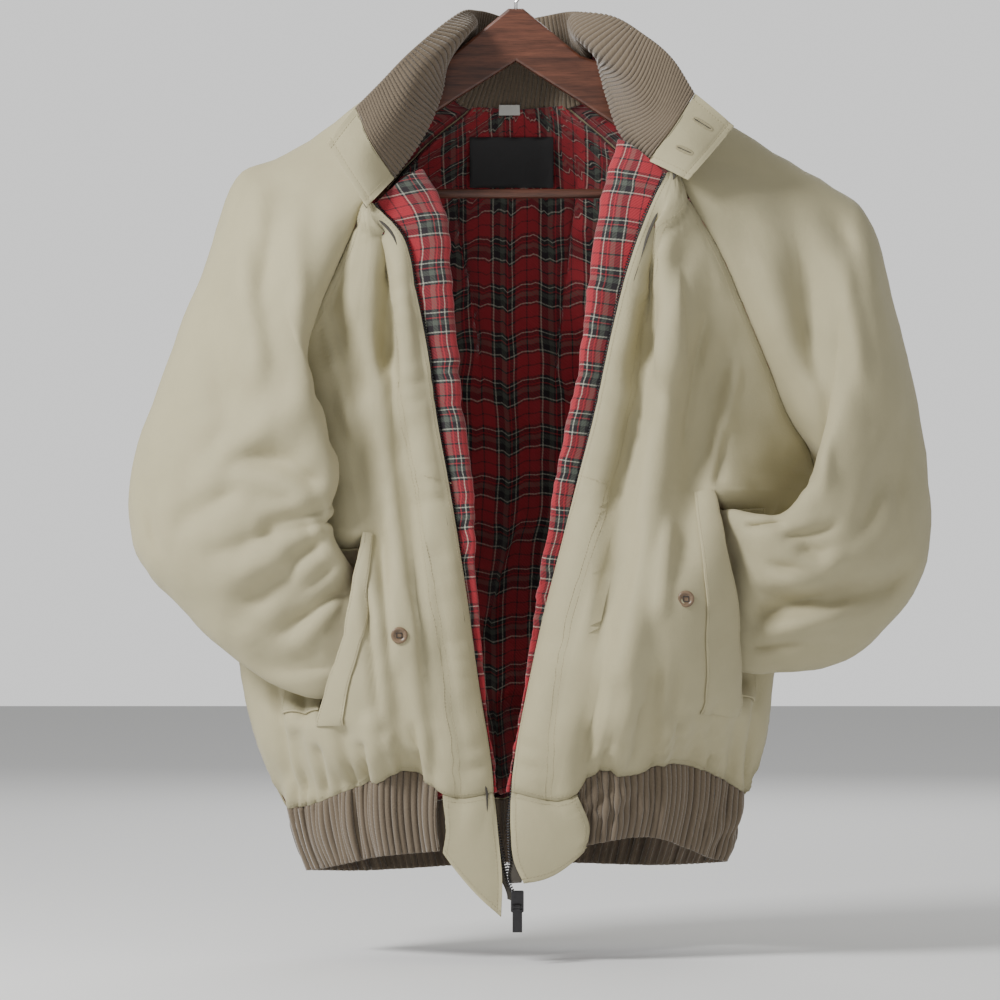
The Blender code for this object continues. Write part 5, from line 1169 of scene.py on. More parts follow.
# ---------------------------------------------------------------- finishes
def group(name, inputs, outputs):
    """An empty shader node group with named sockets: (name, kind, default)."""
    tree = bpy.data.node_groups.new(name, "ShaderNodeTree")
    for direction, sockets in (("INPUT", inputs), ("OUTPUT", outputs)):
        for socket, kind, default in sockets:
            made = tree.interface.new_socket(socket, in_out=direction, socket_type=f"NodeSocket{kind}")
            if direction == "INPUT":
                made.default_value = default
    return tree, tree.nodes.new("NodeGroupInput"), tree.nodes.new("NodeGroupOutput")


def math_node(tree, operation, a, b=None, clamp=False):
    """A Math node on sockets or numbers."""
    node = tree.nodes.new("ShaderNodeMath")
    node.operation = operation
    node.use_clamp = clamp
    for socket, value in zip(node.inputs, (a, b)):
        if isinstance(value, (int, float)):
            socket.default_value = value
        elif value is not None:
            tree.links.new(value, socket)
    return node.outputs[0]


def scaled(tree, value, by, plus):
    """A socket's value multiplied, then added to."""
    return math_node(tree, "ADD", math_node(tree, "MULTIPLY", value, by), plus)


def mixed(tree, factor, a, b, blend="MIX"):
    """A colour Mix node on sockets or values."""
    node = tree.nodes.new("ShaderNodeMix")
    node.data_type = "RGBA"
    node.blend_type = blend
    for socket, value in ((node.inputs[0], factor), (node.inputs[6], a), (node.inputs[7], b)):
        if isinstance(value, (int, float, tuple)):
            socket.default_value = value
        else:
            tree.links.new(value, socket)
    return node.outputs[2]


def place_of(tree):
    return tree.nodes.new("ShaderNodeTexCoord").outputs["Object"]


def noise(tree, vector, scale, detail=2.0, rough=.5):
    node = tree.nodes.new("ShaderNodeTexNoise")
    node.inputs["Scale"].default_value = scale
    node.inputs["Detail"].default_value = detail
    node.inputs["Roughness"].default_value = rough
    if vector is not None:
        tree.links.new(vector, node.inputs["Vector"])
    return node.outputs["Fac"]


def weave_group():
    """Crossing threads on the cloth's own coordinates: which thread lies on top, and how high."""
    tree, source, sink = group("woven_threads", [("Grain", "Vector", (0, 0, 0)), ("Threads per metre", "Float", 1600.0),
                                                 ("Twill", "Float", 0.0)],
                               [("Warp on top", "Float", None), ("Height", "Float", None)])
    split = tree.nodes.new("ShaderNodeSeparateXYZ")
    tree.links.new(source.outputs["Grain"], split.inputs[0])
    waves = []
    for axis in (0, 1):
        turns = math_node(tree, "MULTIPLY", split.outputs[axis], source.outputs["Threads per metre"])
        waves.append(math_node(tree, "SINE", math_node(tree, "MULTIPLY", turns, 2 * math.pi)))
    diagonal = math_node(tree, "ADD", split.outputs[0], split.outputs[1])
    slant = math_node(tree, "SINE", math_node(tree, "MULTIPLY", math_node(
        tree, "MULTIPLY", diagonal, source.outputs["Threads per metre"]), math.pi))
    plain = math_node(tree, "MULTIPLY", waves[0], waves[1])
    kept = math_node(tree, "SUBTRACT", 1.0, source.outputs["Twill"])
    both = math_node(tree, "ADD", math_node(tree, "MULTIPLY", plain, kept),
                     math_node(tree, "MULTIPLY", slant, source.outputs["Twill"]))
    height = scaled(tree, both, .5, .5)
    tree.links.new(height, sink.inputs["Height"])
    tree.links.new(math_node(tree, "GREATER_THAN", both, 0.0), sink.inputs["Warp on top"])
    return tree


def blotch_and_shade_group():
    """Uneven colour, with soil near the seams and a faded bloom on open cloth."""
    tree, source, sink = group("blotch_and_seam_shade", [("Colour", "Color", (1, 1, 1, 1)), ("Soil", "Color", (0, 0, 0, 1)),
                                               ("Seam", "Float", 0.0), ("Seam depth", "Float", .5),
                                               ("Blotch", "Float", .1)],
                               [("Colour", "Color", None), ("Blotches", "Float", None)])
    place = place_of(tree)
    wide = noise(tree, place, 7.0, 3.0)
    fine = noise(tree, place, 55.0, 2.0)
    blotches = math_node(tree, "ADD", math_node(tree, "MULTIPLY", wide, .65), math_node(tree, "MULTIPLY", fine, .35))
    depth = math_node(tree, "MULTIPLY", math_node(tree, "SUBTRACT", blotches, .38, clamp=True),
                      source.outputs["Blotch"])
    shaded = mixed(tree, math_node(tree, "MULTIPLY", depth, 3.0, clamp=True), source.outputs["Colour"],
                   source.outputs["Soil"])
    # painted shade: near seams and in the troughs between knitted ribs the colour is mixed towards the darker colour
    seam = math_node(tree, "MULTIPLY", source.outputs["Seam"], source.outputs["Seam depth"], clamp=True)
    tree.links.new(mixed(tree, seam, shaded, source.outputs["Soil"]), sink.inputs["Colour"])
    tree.links.new(blotches, sink.inputs["Blotches"])
    return tree


def sett_group():
    """The tartan's sett along one direction of the cloth."""
    tree, source, sink = group("tartan_stripes", [("Along", "Float", 0.0), ("Repeat", "Float", SETT_REPEAT * MM),
                                                  ("Red", "Color", (1, 0, 0, 1)), ("Black", "Color", (0, 0, 0, 1)),
                                                  ("Green", "Color", (0, 1, 0, 1)), ("Pale", "Color", (1, 1, 1, 1))],
                               [("Colour", "Color", None)])
    share = math_node(tree, "FRACT", math_node(tree, "DIVIDE", source.outputs["Along"], source.outputs["Repeat"]))
    colour = source.outputs["Red"]
    ends = [start for start, _ in SETT[1:]] + [1.0]
    for (start, stripe), end in zip(SETT, ends):
        if stripe == "red":
            continue
        inside = math_node(tree, "MULTIPLY", math_node(tree, "GREATER_THAN", share, start),
                           math_node(tree, "LESS_THAN", share, end))
        colour = mixed(tree, inside, colour, source.outputs[stripe.capitalize()])
    tree.links.new(colour, sink.inputs["Colour"])
    return tree


def new_material(name, roughness=.8, metallic=0.0, sheen=0.0, colour=(.5, .5, .5)):
    item = bpy.data.materials.new(f"fine_{name}")
    item.use_nodes = True
    item.diffuse_color = (*colour, 1)
    shader = item.node_tree.nodes["Principled BSDF"]
    shader.inputs["Base Color"].default_value = (*colour, 1)
    shader.inputs["Roughness"].default_value = roughness
    shader.inputs["Metallic"].default_value = metallic
    shader.inputs["Sheen Weight"].default_value = sheen
    return item, item.node_tree, shader


def placed(tree, name, **values):
    """A shader group placed in a material, its inputs set to sockets or values."""
    node = tree.nodes.new("ShaderNodeGroup")
    node.node_tree = bpy.data.node_groups.get(name) or {"woven_threads": weave_group, "blotch_and_seam_shade": blotch_and_shade_group,
                                                        "tartan_stripes": sett_group}[name]()
    for socket, value in values.items():
        socket = socket.replace("_", " ")
        if isinstance(value, (int, float, tuple)):
            node.inputs[socket].default_value = value
        else:
            tree.links.new(value, node.inputs[socket])
    return node


def bumped(tree, shader, height, distance, strength=1.0, under=None):
    node = tree.nodes.new("ShaderNodeBump")
    node.inputs["Distance"].default_value = distance
    node.inputs["Strength"].default_value = strength
    tree.links.new(height, node.inputs["Height"])
    if under is not None:
        tree.links.new(under, node.inputs["Normal"])
    tree.links.new(node.outputs["Normal"], shader.inputs["Normal"])
    return node.outputs["Normal"]


def grain_of(tree):
    node = tree.nodes.new("ShaderNodeUVMap")
    node.uv_map = "cloth"
    return node.outputs["UV"]


def seam_of(tree):
    node = tree.nodes.new("ShaderNodeAttribute")
    node.attribute_name = "seam"
    return node.outputs["Fac"]


def cloth_material(name, colour, shade_and_blotch, threads, twill=0.0, roughness=.82, sheen=.2, blotch=.12, seam_depth=.5,
                   weave_depth=.00012):
    """Woven or knitted cloth of one colour."""
    item, tree, shader = new_material(name, roughness, sheen=sheen, colour=colour)
    # random blotches, and painted shade near the seams and between knitted ribs, both mixed towards the darker colour
    worn_and_shaded = placed(tree, "blotch_and_seam_shade", Colour=(*colour, 1), Soil=(*shade_and_blotch, 1), Seam=seam_of(tree),
                  Seam_depth=seam_depth, Blotch=blotch)
    weave = placed(tree, "woven_threads", Grain=grain_of(tree), Threads_per_metre=float(threads), Twill=twill)
    shade = scaled(tree, weave.outputs["Height"], .10, .95)
    tree.links.new(mixed(tree, 1.0, worn_and_shaded.outputs["Colour"], tinted(tree, shade), "MULTIPLY"),
                   shader.inputs["Base Color"])
    under = bumped(tree, shader, weave.outputs["Height"], weave_depth, .6)
    crumple = noise(tree, place_of(tree), 160.0, 4.0, .6)
    bumped(tree, shader, crumple, .0006, .5, under)
    return item


def tinted(tree, value):
    node = tree.nodes.new("ShaderNodeCombineColor")
    for socket in node.inputs[:3]:
        tree.links.new(value, socket)
    return node.outputs[0]


def tartan_material(settings):
    """Brushed tartan: the sett runs both ways, and a twill of threads mixes the two."""
    item, tree, shader = new_material("red_tartan", .92, sheen=.35, colour=tuple(settings.red))
    grain = grain_of(tree)
    split = tree.nodes.new("ShaderNodeSeparateXYZ")
    tree.links.new(grain, split.inputs[0])
    colours = {key.capitalize(): (*getattr(settings, key), 1.0) for key in ("red", "black", "green", "pale")}
    wave = noise(tree, place_of(tree), 14.0)
    drift = math_node(tree, "MULTIPLY", math_node(tree, "SUBTRACT", wave, .5), .006)
    ways = []
    for axis, repeat in ((0, settings.sett_across), (1, settings.sett_along)):
        along = math_node(tree, "ADD", split.outputs[axis], drift)
        ways.append(placed(tree, "tartan_stripes", Along=along, Repeat=float(repeat), **colours).outputs["Colour"])
    weave = placed(tree, "woven_threads", Grain=grain, Threads_per_metre=620.0, Twill=1.0)
    share = scaled(tree, weave.outputs["Height"], .3, .35)
    both = mixed(tree, share, ways[0], ways[1])
    # random blotches, and painted shade near the seams of the shell's inner faces, both mixed towards this near-black
    worn_and_shaded = placed(tree, "blotch_and_seam_shade", Colour=both, Soil=(.02, .008, .012, 1.0), Seam=seam_of(tree),
                  Seam_depth=.8, Blotch=.2)
    tree.links.new(worn_and_shaded.outputs["Colour"], shader.inputs["Base Color"])
    under = bumped(tree, shader, weave.outputs["Height"], .0003, .5)
    nap = noise(tree, place_of(tree), 900.0, 2.0)
    bumped(tree, shader, nap, .0004, .4, under)
    return item


def wood_material(settings):
    """Stained, varnished hardwood with its grain along the arms."""
    item, tree, shader = new_material("brown_wood", .38, colour=tuple(settings.wood))
    shader.inputs["Coat Weight"].default_value = .35
    shader.inputs["Coat Roughness"].default_value = .25
    mapping = tree.nodes.new("ShaderNodeMapping")
    mapping.inputs["Scale"].default_value = (3.0, 30.0, 42.0)
    tree.links.new(place_of(tree), mapping.inputs["Vector"])
    grain = noise(tree, mapping.outputs[0], 4.0, 6.0, .62)
    pores = noise(tree, mapping.outputs[0], 22.0, 3.0, .7)
    ramp_node = tree.nodes.new("ShaderNodeValToRGB")
    dark = [c * .35 for c in settings.wood]
    ramp_node.color_ramp.elements[0].position = .32
    ramp_node.color_ramp.elements[0].color = (*dark, 1)
    ramp_node.color_ramp.elements[1].position = .68
    ramp_node.color_ramp.elements[1].color = (*[min(1, c * 1.5) for c in settings.wood], 1)
    tree.links.new(grain, ramp_node.inputs[0])
    deep = math_node(tree, "MULTIPLY", math_node(tree, "SUBTRACT", .5, pores, clamp=True), 2.2, clamp=True)
    tree.links.new(mixed(tree, deep, ramp_node.outputs[0], (*[c * .2 for c in settings.wood], 1)),
                   shader.inputs["Base Color"])
    tree.links.new(scaled(tree, pores, .25, .26), shader.inputs["Roughness"])
    bumped(tree, shader, pores, .0004, .35)
    return item


def metal_material(name, colour, roughness, scratch=.12):
    """Metal with fine rubbed marks and dull hollows."""
    item, tree, shader = new_material(name, roughness, 1.0, colour=colour)
    place = place_of(tree)
    marks = noise(tree, place, 900.0, 3.0, .7)
    dull = noise(tree, place, 160.0, 2.0)
    tree.links.new(mixed(tree, math_node(tree, "MULTIPLY", dull, .6), (*colour, 1), (*[c * .45 for c in colour], 1)),
                   shader.inputs["Base Color"])
    tree.links.new(scaled(tree, marks, scratch * 2, roughness - scratch), shader.inputs["Roughness"])
    bumped(tree, shader, marks, .00005, .4)
    return item


def horn_material(settings):
    """Mottled brown button horn."""
    item, tree, shader = new_material("brown_horn", .35, colour=tuple(settings.button))
    place = place_of(tree)
    cloud = noise(tree, place, 240.0, 4.0, .6)
    tree.links.new(mixed(tree, cloud, (*[c * .4 for c in settings.button], 1),
                         (*[min(1, c * 1.9) for c in settings.button], 1)), shader.inputs["Base Color"])
    tree.links.new(scaled(tree, cloud, .2, .25), shader.inputs["Roughness"])
    return item


finishes = {}


def finish(key):
    """A finish by name, made once."""
    scene = bpy.context.scene
    cloths, trim = scene.jacket_cloth, scene.jacket_trim
    # colour, darker colour for the painted shade in the seams and between ribs and for the random blotches, threads per
    # metre, and what differs from a plain cloth
    woven = {
        "khaki_poplin": (cloths.khaki, cloths.khaki_shade_and_blotch, 900, dict(roughness=.74, sheen=.12, blotch=.16)),
        "rib_knit": (cloths.rib, cloths.rib_shade_and_blotch, 420,
                     dict(twill=.4, roughness=.95, sheen=.4, seam_depth=.7, weave_depth=.0005)),
        "zip_tape": ((.07, .062, .05), (.02, .018, .015), 1200, dict(roughness=.9)),
        "label_black": ((.012, .011, .012), (.004, .004, .004), 1400, dict(twill=.3, roughness=.55, sheen=.1)),
        "tag_white": ((.62, .62, .58), (.4, .39, .34), 1400, dict(roughness=.8)),
        "thread": (trim.thread, (.2, .18, .12), 1500, dict(twill=1.0)),
        "black_thread": ((.02, .02, .02), (.01, .01, .01), 1500, dict(twill=1.0)),
    }
    others = {
        "red_tartan": lambda: tartan_material(scene.jacket_lining),
        "brown_wood": lambda: wood_material(trim),
        "bright_steel": lambda: metal_material("bright_steel", (.62, .61, .6), .22),
        "gunmetal": lambda: metal_material("gunmetal", tuple(trim.metal), .36),
        "brown_horn": lambda: horn_material(trim),
    }
    if key in woven and key not in finishes:
        colour, shade_and_blotch, threads, changes = woven[key]
        finishes[key] = cloth_material(key, tuple(colour), tuple(shade_and_blotch), threads, **changes)
    elif key not in finishes:
        finishes[key] = others[key]()
    return finishes[key]


# ---------------------------------------------------------------- groups of pieces
made = {}


def shell():
    """Points of the fronts, sleeves and back, made once."""
    if not made:
        made["fronts"], made["sleeves"], made["near"] = {}, {}, {}
        for side in SIDES:
            points, slit, near = made_front(side)
            made["fronts"][side], made["near"][f"front_{side}"] = (points, slit), near
            made["sleeves"][side], made["near"][f"sleeve_{side}"] = made_sleeve(side)
        made["back"], made["near"]["back"] = made_back()
    return made


def on_sheet(points, unit, places, lift):
    """Points of a front view (x, z) put on a sheet, and the way that it faces there."""
    flat, facing = points.reshape(-1, 3), unit.reshape(-1, 3)
    spots, ways = [], []
    for x, z in places:
        near = np.argmin((flat[:, 0] - x) ** 2 + (flat[:, 2] - z) ** 2 + 1e4 * (facing[:, 1] > -.15))
        p, n = flat[near], facing[near]
        y = p[1] - (n[0] * (x - p[0]) + n[2] * (z - p[2])) / min(n[1], -.3)
        spots.append(np.array([x, y, z]) + n * lift)
        ways.append(n)
    return np.array(spots), np.array(ways)


def corrugated(points, per_rib, amount, closed=False):
    """A sheet with knitted ribs standing out on both faces."""
    wave = np.cos(2 * math.pi * np.arange(points.shape[1]) / per_rib)
    wave = np.sign(wave) * np.abs(wave) ** .6
    # the second value marks the troughs between the ribs, where painted shade goes
    return points + normals(points, closed) * (amount * wave)[None, :, None], np.clip(-wave, 0, 1)[None] * np.ones(
        (len(points), 1))


def buttonhole(points, unit, start, end, lift):
    """A closed line round a buttonhole, its threads laid across it."""
    start, end = np.array(start, float), np.array(end, float)
    along = (end - start) / np.linalg.norm(end - start)
    square = np.array([-along[1], along[0]])
    turn = np.linspace(0, 2 * math.pi, HOLE_POINTS)
    middle, half = (start + end) / 2, np.linalg.norm(end - start) / 2
    places = middle + np.outer(half * np.cos(turn), along) + np.outer(BUTTONHOLE_W * np.sin(turn), square)
    return on_sheet(points, unit, places, lift)


def build_cloth():
    cloths = shell()
    poplin, tartan = finish("khaki_poplin"), finish("red_tartan")
    for side in SIDES:
        points, slit = cloths["fronts"][side]
        cloth(f"front_{side}_cloth", f"front_{side}", points, SHELL_T, (poplin, tartan),
              outward=out(side), slit=slit, near=cloths["near"][f"front_{side}"])
        cloth(f"sleeve_{side}_cloth", f"sleeve_{side}", cloths["sleeves"][side], SHELL_T,
              (poplin, tartan), closed=True, outward=-out(side), near=cloths["near"][f"sleeve_{side}"])
    cloth("back_cloth", "back", cloths["back"], SHELL_T, (poplin, tartan), outward=-1,
          near=cloths["near"]["back"])


def self_fabric(node, points, thickness, outward, near=None):
    """A small piece with the outer cloth on both faces."""
    poplin = finish("khaki_poplin")
    cloth(f"{node}_cloth", node, points, thickness, (poplin, poplin), outward=outward,
          near=near)


def whole_collar(cloths):
    """The collar's points, with whole ribs along the neck seam."""
    base = collar_base(cloths, np.linspace(0, 1, NECK_SAMPLES))
    count = round(step_lengths(base).sum() / COLLAR_RIB_PITCH)
    return collar_grid(cloths, count * RIB_STEPS + 1, COLLAR_ROWS)


def build_ribs():
    cloths, sizes = shell(), bpy.context.scene.jacket_cloth
    knit = finish("rib_knit")
    ribbed, near = corrugated(whole_collar(cloths), RIB_STEPS, sizes.rib_depth / MM)
    cloth("collar_rib_knit", "collar_rib", ribbed, RIB_T, (knit, knit), outward=-1, near=near)
    count = round(step_lengths(hem_line(cloths)).sum() / BAND_RIB_PITCH)
    grid = band_grid(cloths, count * RIB_STEPS + 1, BAND_ROWS)
    row = np.linspace(0, 1, BAND_ROWS)[:, None]
    across = reach(grid, 1)[0]
    push = BAND_WAVE[1] * uneven(across / BAND_WAVE[0] + .2 * row, .4) * np.sin(math.pi * row)
    grid = grid + normals(grid) * push[..., None]
    ribbed, near = corrugated(grid, RIB_STEPS, sizes.rib_depth * BAND_RIB_SHARE / MM)
    cloth("waistband_knit", "waistband_rib", ribbed, RIB_T, (knit, knit), outward=1, near=near)
    for side in SIDES:
        last = cloths["sleeves"][side][-1]
        around = np.concatenate([last, last[:1]])
        columns = CUFF_RIBS * RIB_STEPS
        at = np.arange(columns) / columns * (len(around) - 1)
        near_ring = grid_rows(around[:, None], at)[:, 0]
        ox, oz, ix, iz = CUFF_END[side]
        middle, half = CUFF_DEPTH
        angle = 2 * math.pi * np.arange(columns) / columns
        far = np.stack([(ox + ix) / 2 + (ox - ix) / 2 * np.cos(angle), middle + half * np.sin(angle),
                        (oz + iz) / 2 + (oz - iz) / 2 * np.cos(angle)], axis=-1)
        share = np.linspace(0, 1, CUFF_ROWS)[:, None, None]
        grid = pull_back(near_ring + (far - near_ring) * share, ["row0"], CUFF_SEAM_GAP)
        ribbed, near = corrugated(grid, RIB_STEPS, sizes.rib_depth * CUFF_RIB_SHARE / MM, closed=True)
        cloth(f"cuff_{side}_knit", f"cuff_{side}", ribbed, RIB_T * CUFF_T_SHARE, (knit, knit),
              closed=True, outward=-out(side), near=near)


def tab_points(side):
    """A collar tab, from the collar's end to its two free corners."""
    ends = whole_collar(shell())[:, 0 if side == "right" else -1]
    low, high = (np.array(TAB[side][k], float) for k in ("low", "high"))
    q = np.linspace(0, 1, TAB_POINTS)
    far = np.linspace(low, high, TAB_POINTS)
    near = path(ends, q)
    tab = near[:, None] + (far - near)[:, None] * q[None, :, None]
    tab[..., 1] -= TAB_BOW * np.sin(math.pi * q)[None] + TAB_STAND * (1 - q)[:, None]
    tab = pull_back(tab, ["col0"], TAB_SEAM_GAP)
    up, tall = reach(tab, 0)
    across, wide = reach(tab, 1)
    inset = valley(across - wide + TAB_STITCH, .5, 1.6) + valley(up - TAB_STITCH, .5, 1.6)
    inset += valley(tall - up - TAB_STITCH, .5, 1.6)
    return tab - out(side) * normals(tab) * inset[..., None]


def block_points(side):
    grid = pull_back(block_grid(shell(), side), ["row0"], BLOCK_SEAM_GAP)
    sink, near = seam_form(grid, ("row0", "col1"), .2 if side == "right" else .8)
    across, _ = reach(grid, 1)
    sink += valley(across - BLOCK_STITCH, .5, 1.5)
    return grid + out(side) * normals(grid) * sink[..., None], near


def build_tabs_and_blocks():
    for side in SIDES:
        self_fabric(f"collar_tab_{side}", tab_points(side), TAB_T, out(side))
        grid, near = block_points(side)
        self_fabric(f"hem_block_{side}", grid, BLOCK_T, -out(side), near)


def pocket_points(side):
    """The welt and the open flap of a pocket, laid on the front."""
    points, (column, low, high, past) = shell()["fronts"][side]
    strip = points[low:high + 1, column - FINE:column + 1]
    welt = lay_on(strip, out(side), SHELL_T / 2 + LAY_GAP + WELT_T / 2)
    across, wide = reach(welt, 1)
    welt = welt + out(side) * normals(welt) * (.8 * np.sin(math.pi * across / wide))[..., None]
    under = points[low:high + 1, column:column + 2 * FINE + 1].copy()
    under[:, 0] = past[low:high + 1]
    at = np.linspace(FLAP_INSET * FINE, (ROWS_POCKET - FLAP_INSET) * FINE, ROWS_POCKET * FINE + 1)
    flap = lay_on(grid_rows(under, at), out(side), SHELL_T / 2 + FLAP_GAP + FLAP_T / 2)
    return welt, pull_back(flap, ["col0"], 2)


def horn_button(name, node, place):
    """A sewn button: a dished rim, four holes and the thread through them."""
    x, y, z = place
    mesh = bmesh.new()
    rings = []
    angles = [2 * math.pi * k / BUTTON_TURNS for k in range(BUTTON_TURNS)]
    for radius, depth in BUTTON_RINGS:
        rings.append([mesh.verts.new(Vector((x + radius * BUTTON_D * math.cos(a), y - depth * BUTTON_T,
                                             z + radius * BUTTON_D * math.sin(a))) * MM) for a in angles])
    for a, b in zip(rings, rings[1:]):
        for k in range(BUTTON_TURNS):
            after = (k + 1) % BUTTON_TURNS
            mesh.faces.new((a[k], a[after], b[after], b[k]))
    mesh.faces.new(rings[0][::-1])
    mesh.faces.new(rings[-1])
    bmesh.ops.recalc_face_normals(mesh, faces=mesh.faces)
    for face in mesh.faces:
        face.smooth = True
    item = finished(name, mesh, [finish("brown_horn")])
    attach(item, BODY)
    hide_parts(node)
    top = y - BUTTON_T * BUTTON_FLOOR
    across, up = BUTTON_HOLE
    pairs = (((-across, -up), (-across, up)), ((across, -up), (across, up)), ((-across, up), (across, up)),
             ((-across, -up), (across, -up)))
    lines = [(np.array([[x + a, top, z + b] for a, b in pair]), np.array([[0, -1, 0]] * 2)) for pair in pairs]
    return lines


def build_pockets():
    threads = []
    for side in SIDES:
        welt, flap = pocket_points(side)
        self_fabric(f"pocket_welt_{side}", welt, WELT_T, out(side))
        self_fabric(f"pocket_flap_{side}", flap, FLAP_T, out(side))
        points = shell()["fronts"][side][0]
        spots, _ = on_sheet(points, out(side) * normals(points), [BUTTON_AT[side]], SHELL_T / 2)
        place = (BUTTON_AT[side][0], spots[0][1] + BUTTON_SINK, BUTTON_AT[side][1])
        threads += horn_button(f"pocket_button_{side}_horn", f"pocket_button_{side}", place)
    size, pitch = BUTTON_THREAD
    repeated("button_threads", threads, "thread", pitch, size, finish("black_thread"))


def build_lining():
    cloths, tartan = shell(), finish("red_tartan")
    back = cloths["back"]
    rows, cols = back.shape[:2]
    u = np.linspace(LINING_INSET[0] * FINE, cols - 1 - LINING_INSET[0] * FINE, LINING_POINTS[1])
    v = np.linspace(LINING_INSET[1] * FINE, rows - 1, LINING_POINTS[0])
    off = SHELL_T / 2 + LAY_GAP + LINING_T / 2
    ease = ramp((rows - 1 - np.arange(rows)) / (LINING_EASE_ROWS * FINE))
    depth = off + LINING_EASE * ease[:, None, None]
    inside = grid_rows(back + normals(back) * depth, v)
    inside = np.swapaxes(grid_rows(np.swapaxes(inside, 0, 1), u), 0, 1)
    inside[-1, :, 2] -= LINING_BELOW_NECK
    lining = cloth("lining_back_cloth", "lining_back", inside, LINING_T, (tartan, tartan),
                   outward=1, raised=quilting(inside))
    for side in SIDES:
        rough = lining_roll(cloths, side)
        stations = np.arange(rough.shape[1])
        fine = smooth(stations, np.swapaxes(rough, 0, 1).reshape(len(stations), -1),
                      np.linspace(0, stations[-1], ROLL_POINTS))
        grid = np.swapaxes(fine.reshape(ROLL_POINTS, len(rough), 3), 0, 1)
        across, wide = reach(grid, 1)
        up, _ = reach(grid, 0)
        height, wave = ROLL_PUFF
        puff = height * np.sin(math.pi * np.clip(across / wide, 0, 1)) * uneven(up / wave, .35 + .3 * out(side))
        grid = grid + normals(grid) * puff[..., None]
        cloth(f"lining_front_{side}_cloth", f"lining_front_{side}", grid, LINING_T,
              (tartan, tartan), outward=-out(side))
    surface = BVHTree.FromObject(lining, bpy.context.evaluated_depsgraph_get())
    marks = (("neck_label", LABEL, "label_black"), ("size_tag", SIZE_TAG, "tag_white"))
    for node, (x, z, wide, tall), slot in marks:
        rows, cols = LABEL_POINTS
        grid = np.zeros((rows, cols, 3))
        for i, gz in enumerate(np.linspace(z - tall / 2, z + tall / 2, rows)):
            for j, gx in enumerate(np.linspace(x - wide / 2, x + wide / 2, cols)):
                start = Vector((gx * MM, LABEL_RAY_Y, min(gz, LINING_TOP) * MM))
                hit = surface.ray_cast(start, Vector((0, 1, 0)))[0]
                if hit is None:
                    raise RuntimeError(f"{node} misses the lining")
                grid[i, j] = (gx, hit.y / MM - LABEL_OFF, gz)
        grid[..., 1] = grid[..., 1].min() * .5 + grid[..., 1] * .5
        cloth(f"{node}_cloth", node, grid, LABEL_T, (finish(slot), finish(slot)), outward=1)


def tape_points(side):
    """A zip tape from the neck to the slider: from the teeth's line to the cloth that it is sewn under."""
    cloths = shell()
    front = cloths["fronts"][side][0]
    block = block_grid(cloths, side)
    sheet = np.concatenate([block[::-1, :2][:-1], front[:, :2]])
    sheet = sheet[sheet[:, 0, 2] > TAPE_END_Z]
    edge = sheet[:, 0]
    step, behind = front_edge(sheet)
    stand = np.where(edge[:, 2] < HEM_Z + TAPE_STEP, BLOCK_T, SHELL_T) / 2 + LAY_GAP + TAPE_T / 2
    line, other_line = (read_table([(-z, x, y) for x, y, z in ZIP[key]], -edge[:, 2])
                        for key in (side, "left" if side == "right" else "right"))
    inner = edge - step * (ZIP_EDGE - TEETH_GAP)
    low = ramp((TAPE_JOIN_Z - edge[:, 2]) / TAPE_JOIN_REACH)[:, None]
    inner[:, :2] = inner[:, :2] * (1 - low) + (line + [out(side) * TEETH_GAP, 0]) * low
    meet = ramp((TAPE_MEET_Z - edge[:, 2]) / TAPE_MEET_REACH)[:, None]
    inner[:, :2] = inner[:, :2] * (1 - meet) + (line + other_line) / 2 * meet
    share = np.linspace(0, 1, TAPE_POINTS)[None, :, None]
    strip = np.linalg.norm(sheet[:, 1] - edge, axis=-1, keepdims=True)
    outer = edge + step * np.maximum(strip, TAPE_WIDTH)
    lost, height = TAPE_NARROW
    narrow = 1 - lost * ramp((TAPE_MEET_Z - edge[:, 2]) / height)
    grid = inner[:, None] + (outer - inner)[:, None] * share * narrow[:, None, None]
    return grid + (behind * stand[:, None])[:, None], behind


def build_zip():
    tape_cloth, metal = finish("zip_tape"), finish("gunmetal")
    pitch = bpy.context.scene.jacket_trim.tooth_pitch / MM
    for side in SIDES:
        grid, behind = tape_points(side)
        cloth(f"zip_tape_{side}_cloth", f"zip_tape_{side}", grid, TAPE_T, (tape_cloth, tape_cloth),
              outward=out(side))
        line = grid[:, 0] - behind * TEETH_LIFT
        repeated(f"zip_teeth_{side}", [(line, -behind)], "tooth", pitch, TOOTH_SIZE, metal)
    for node in ("zip_slider", "zip_pull"):
        dress(node, metal)


def dress(node, material):
    """A better material on a CAD node that keeps its shape."""
    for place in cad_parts[node].material_slots:
        place.material = material


def build_hanger():
    dress("hanger_wood", finish("brown_wood"))
    dress("hanger_hook", finish("bright_steel"))


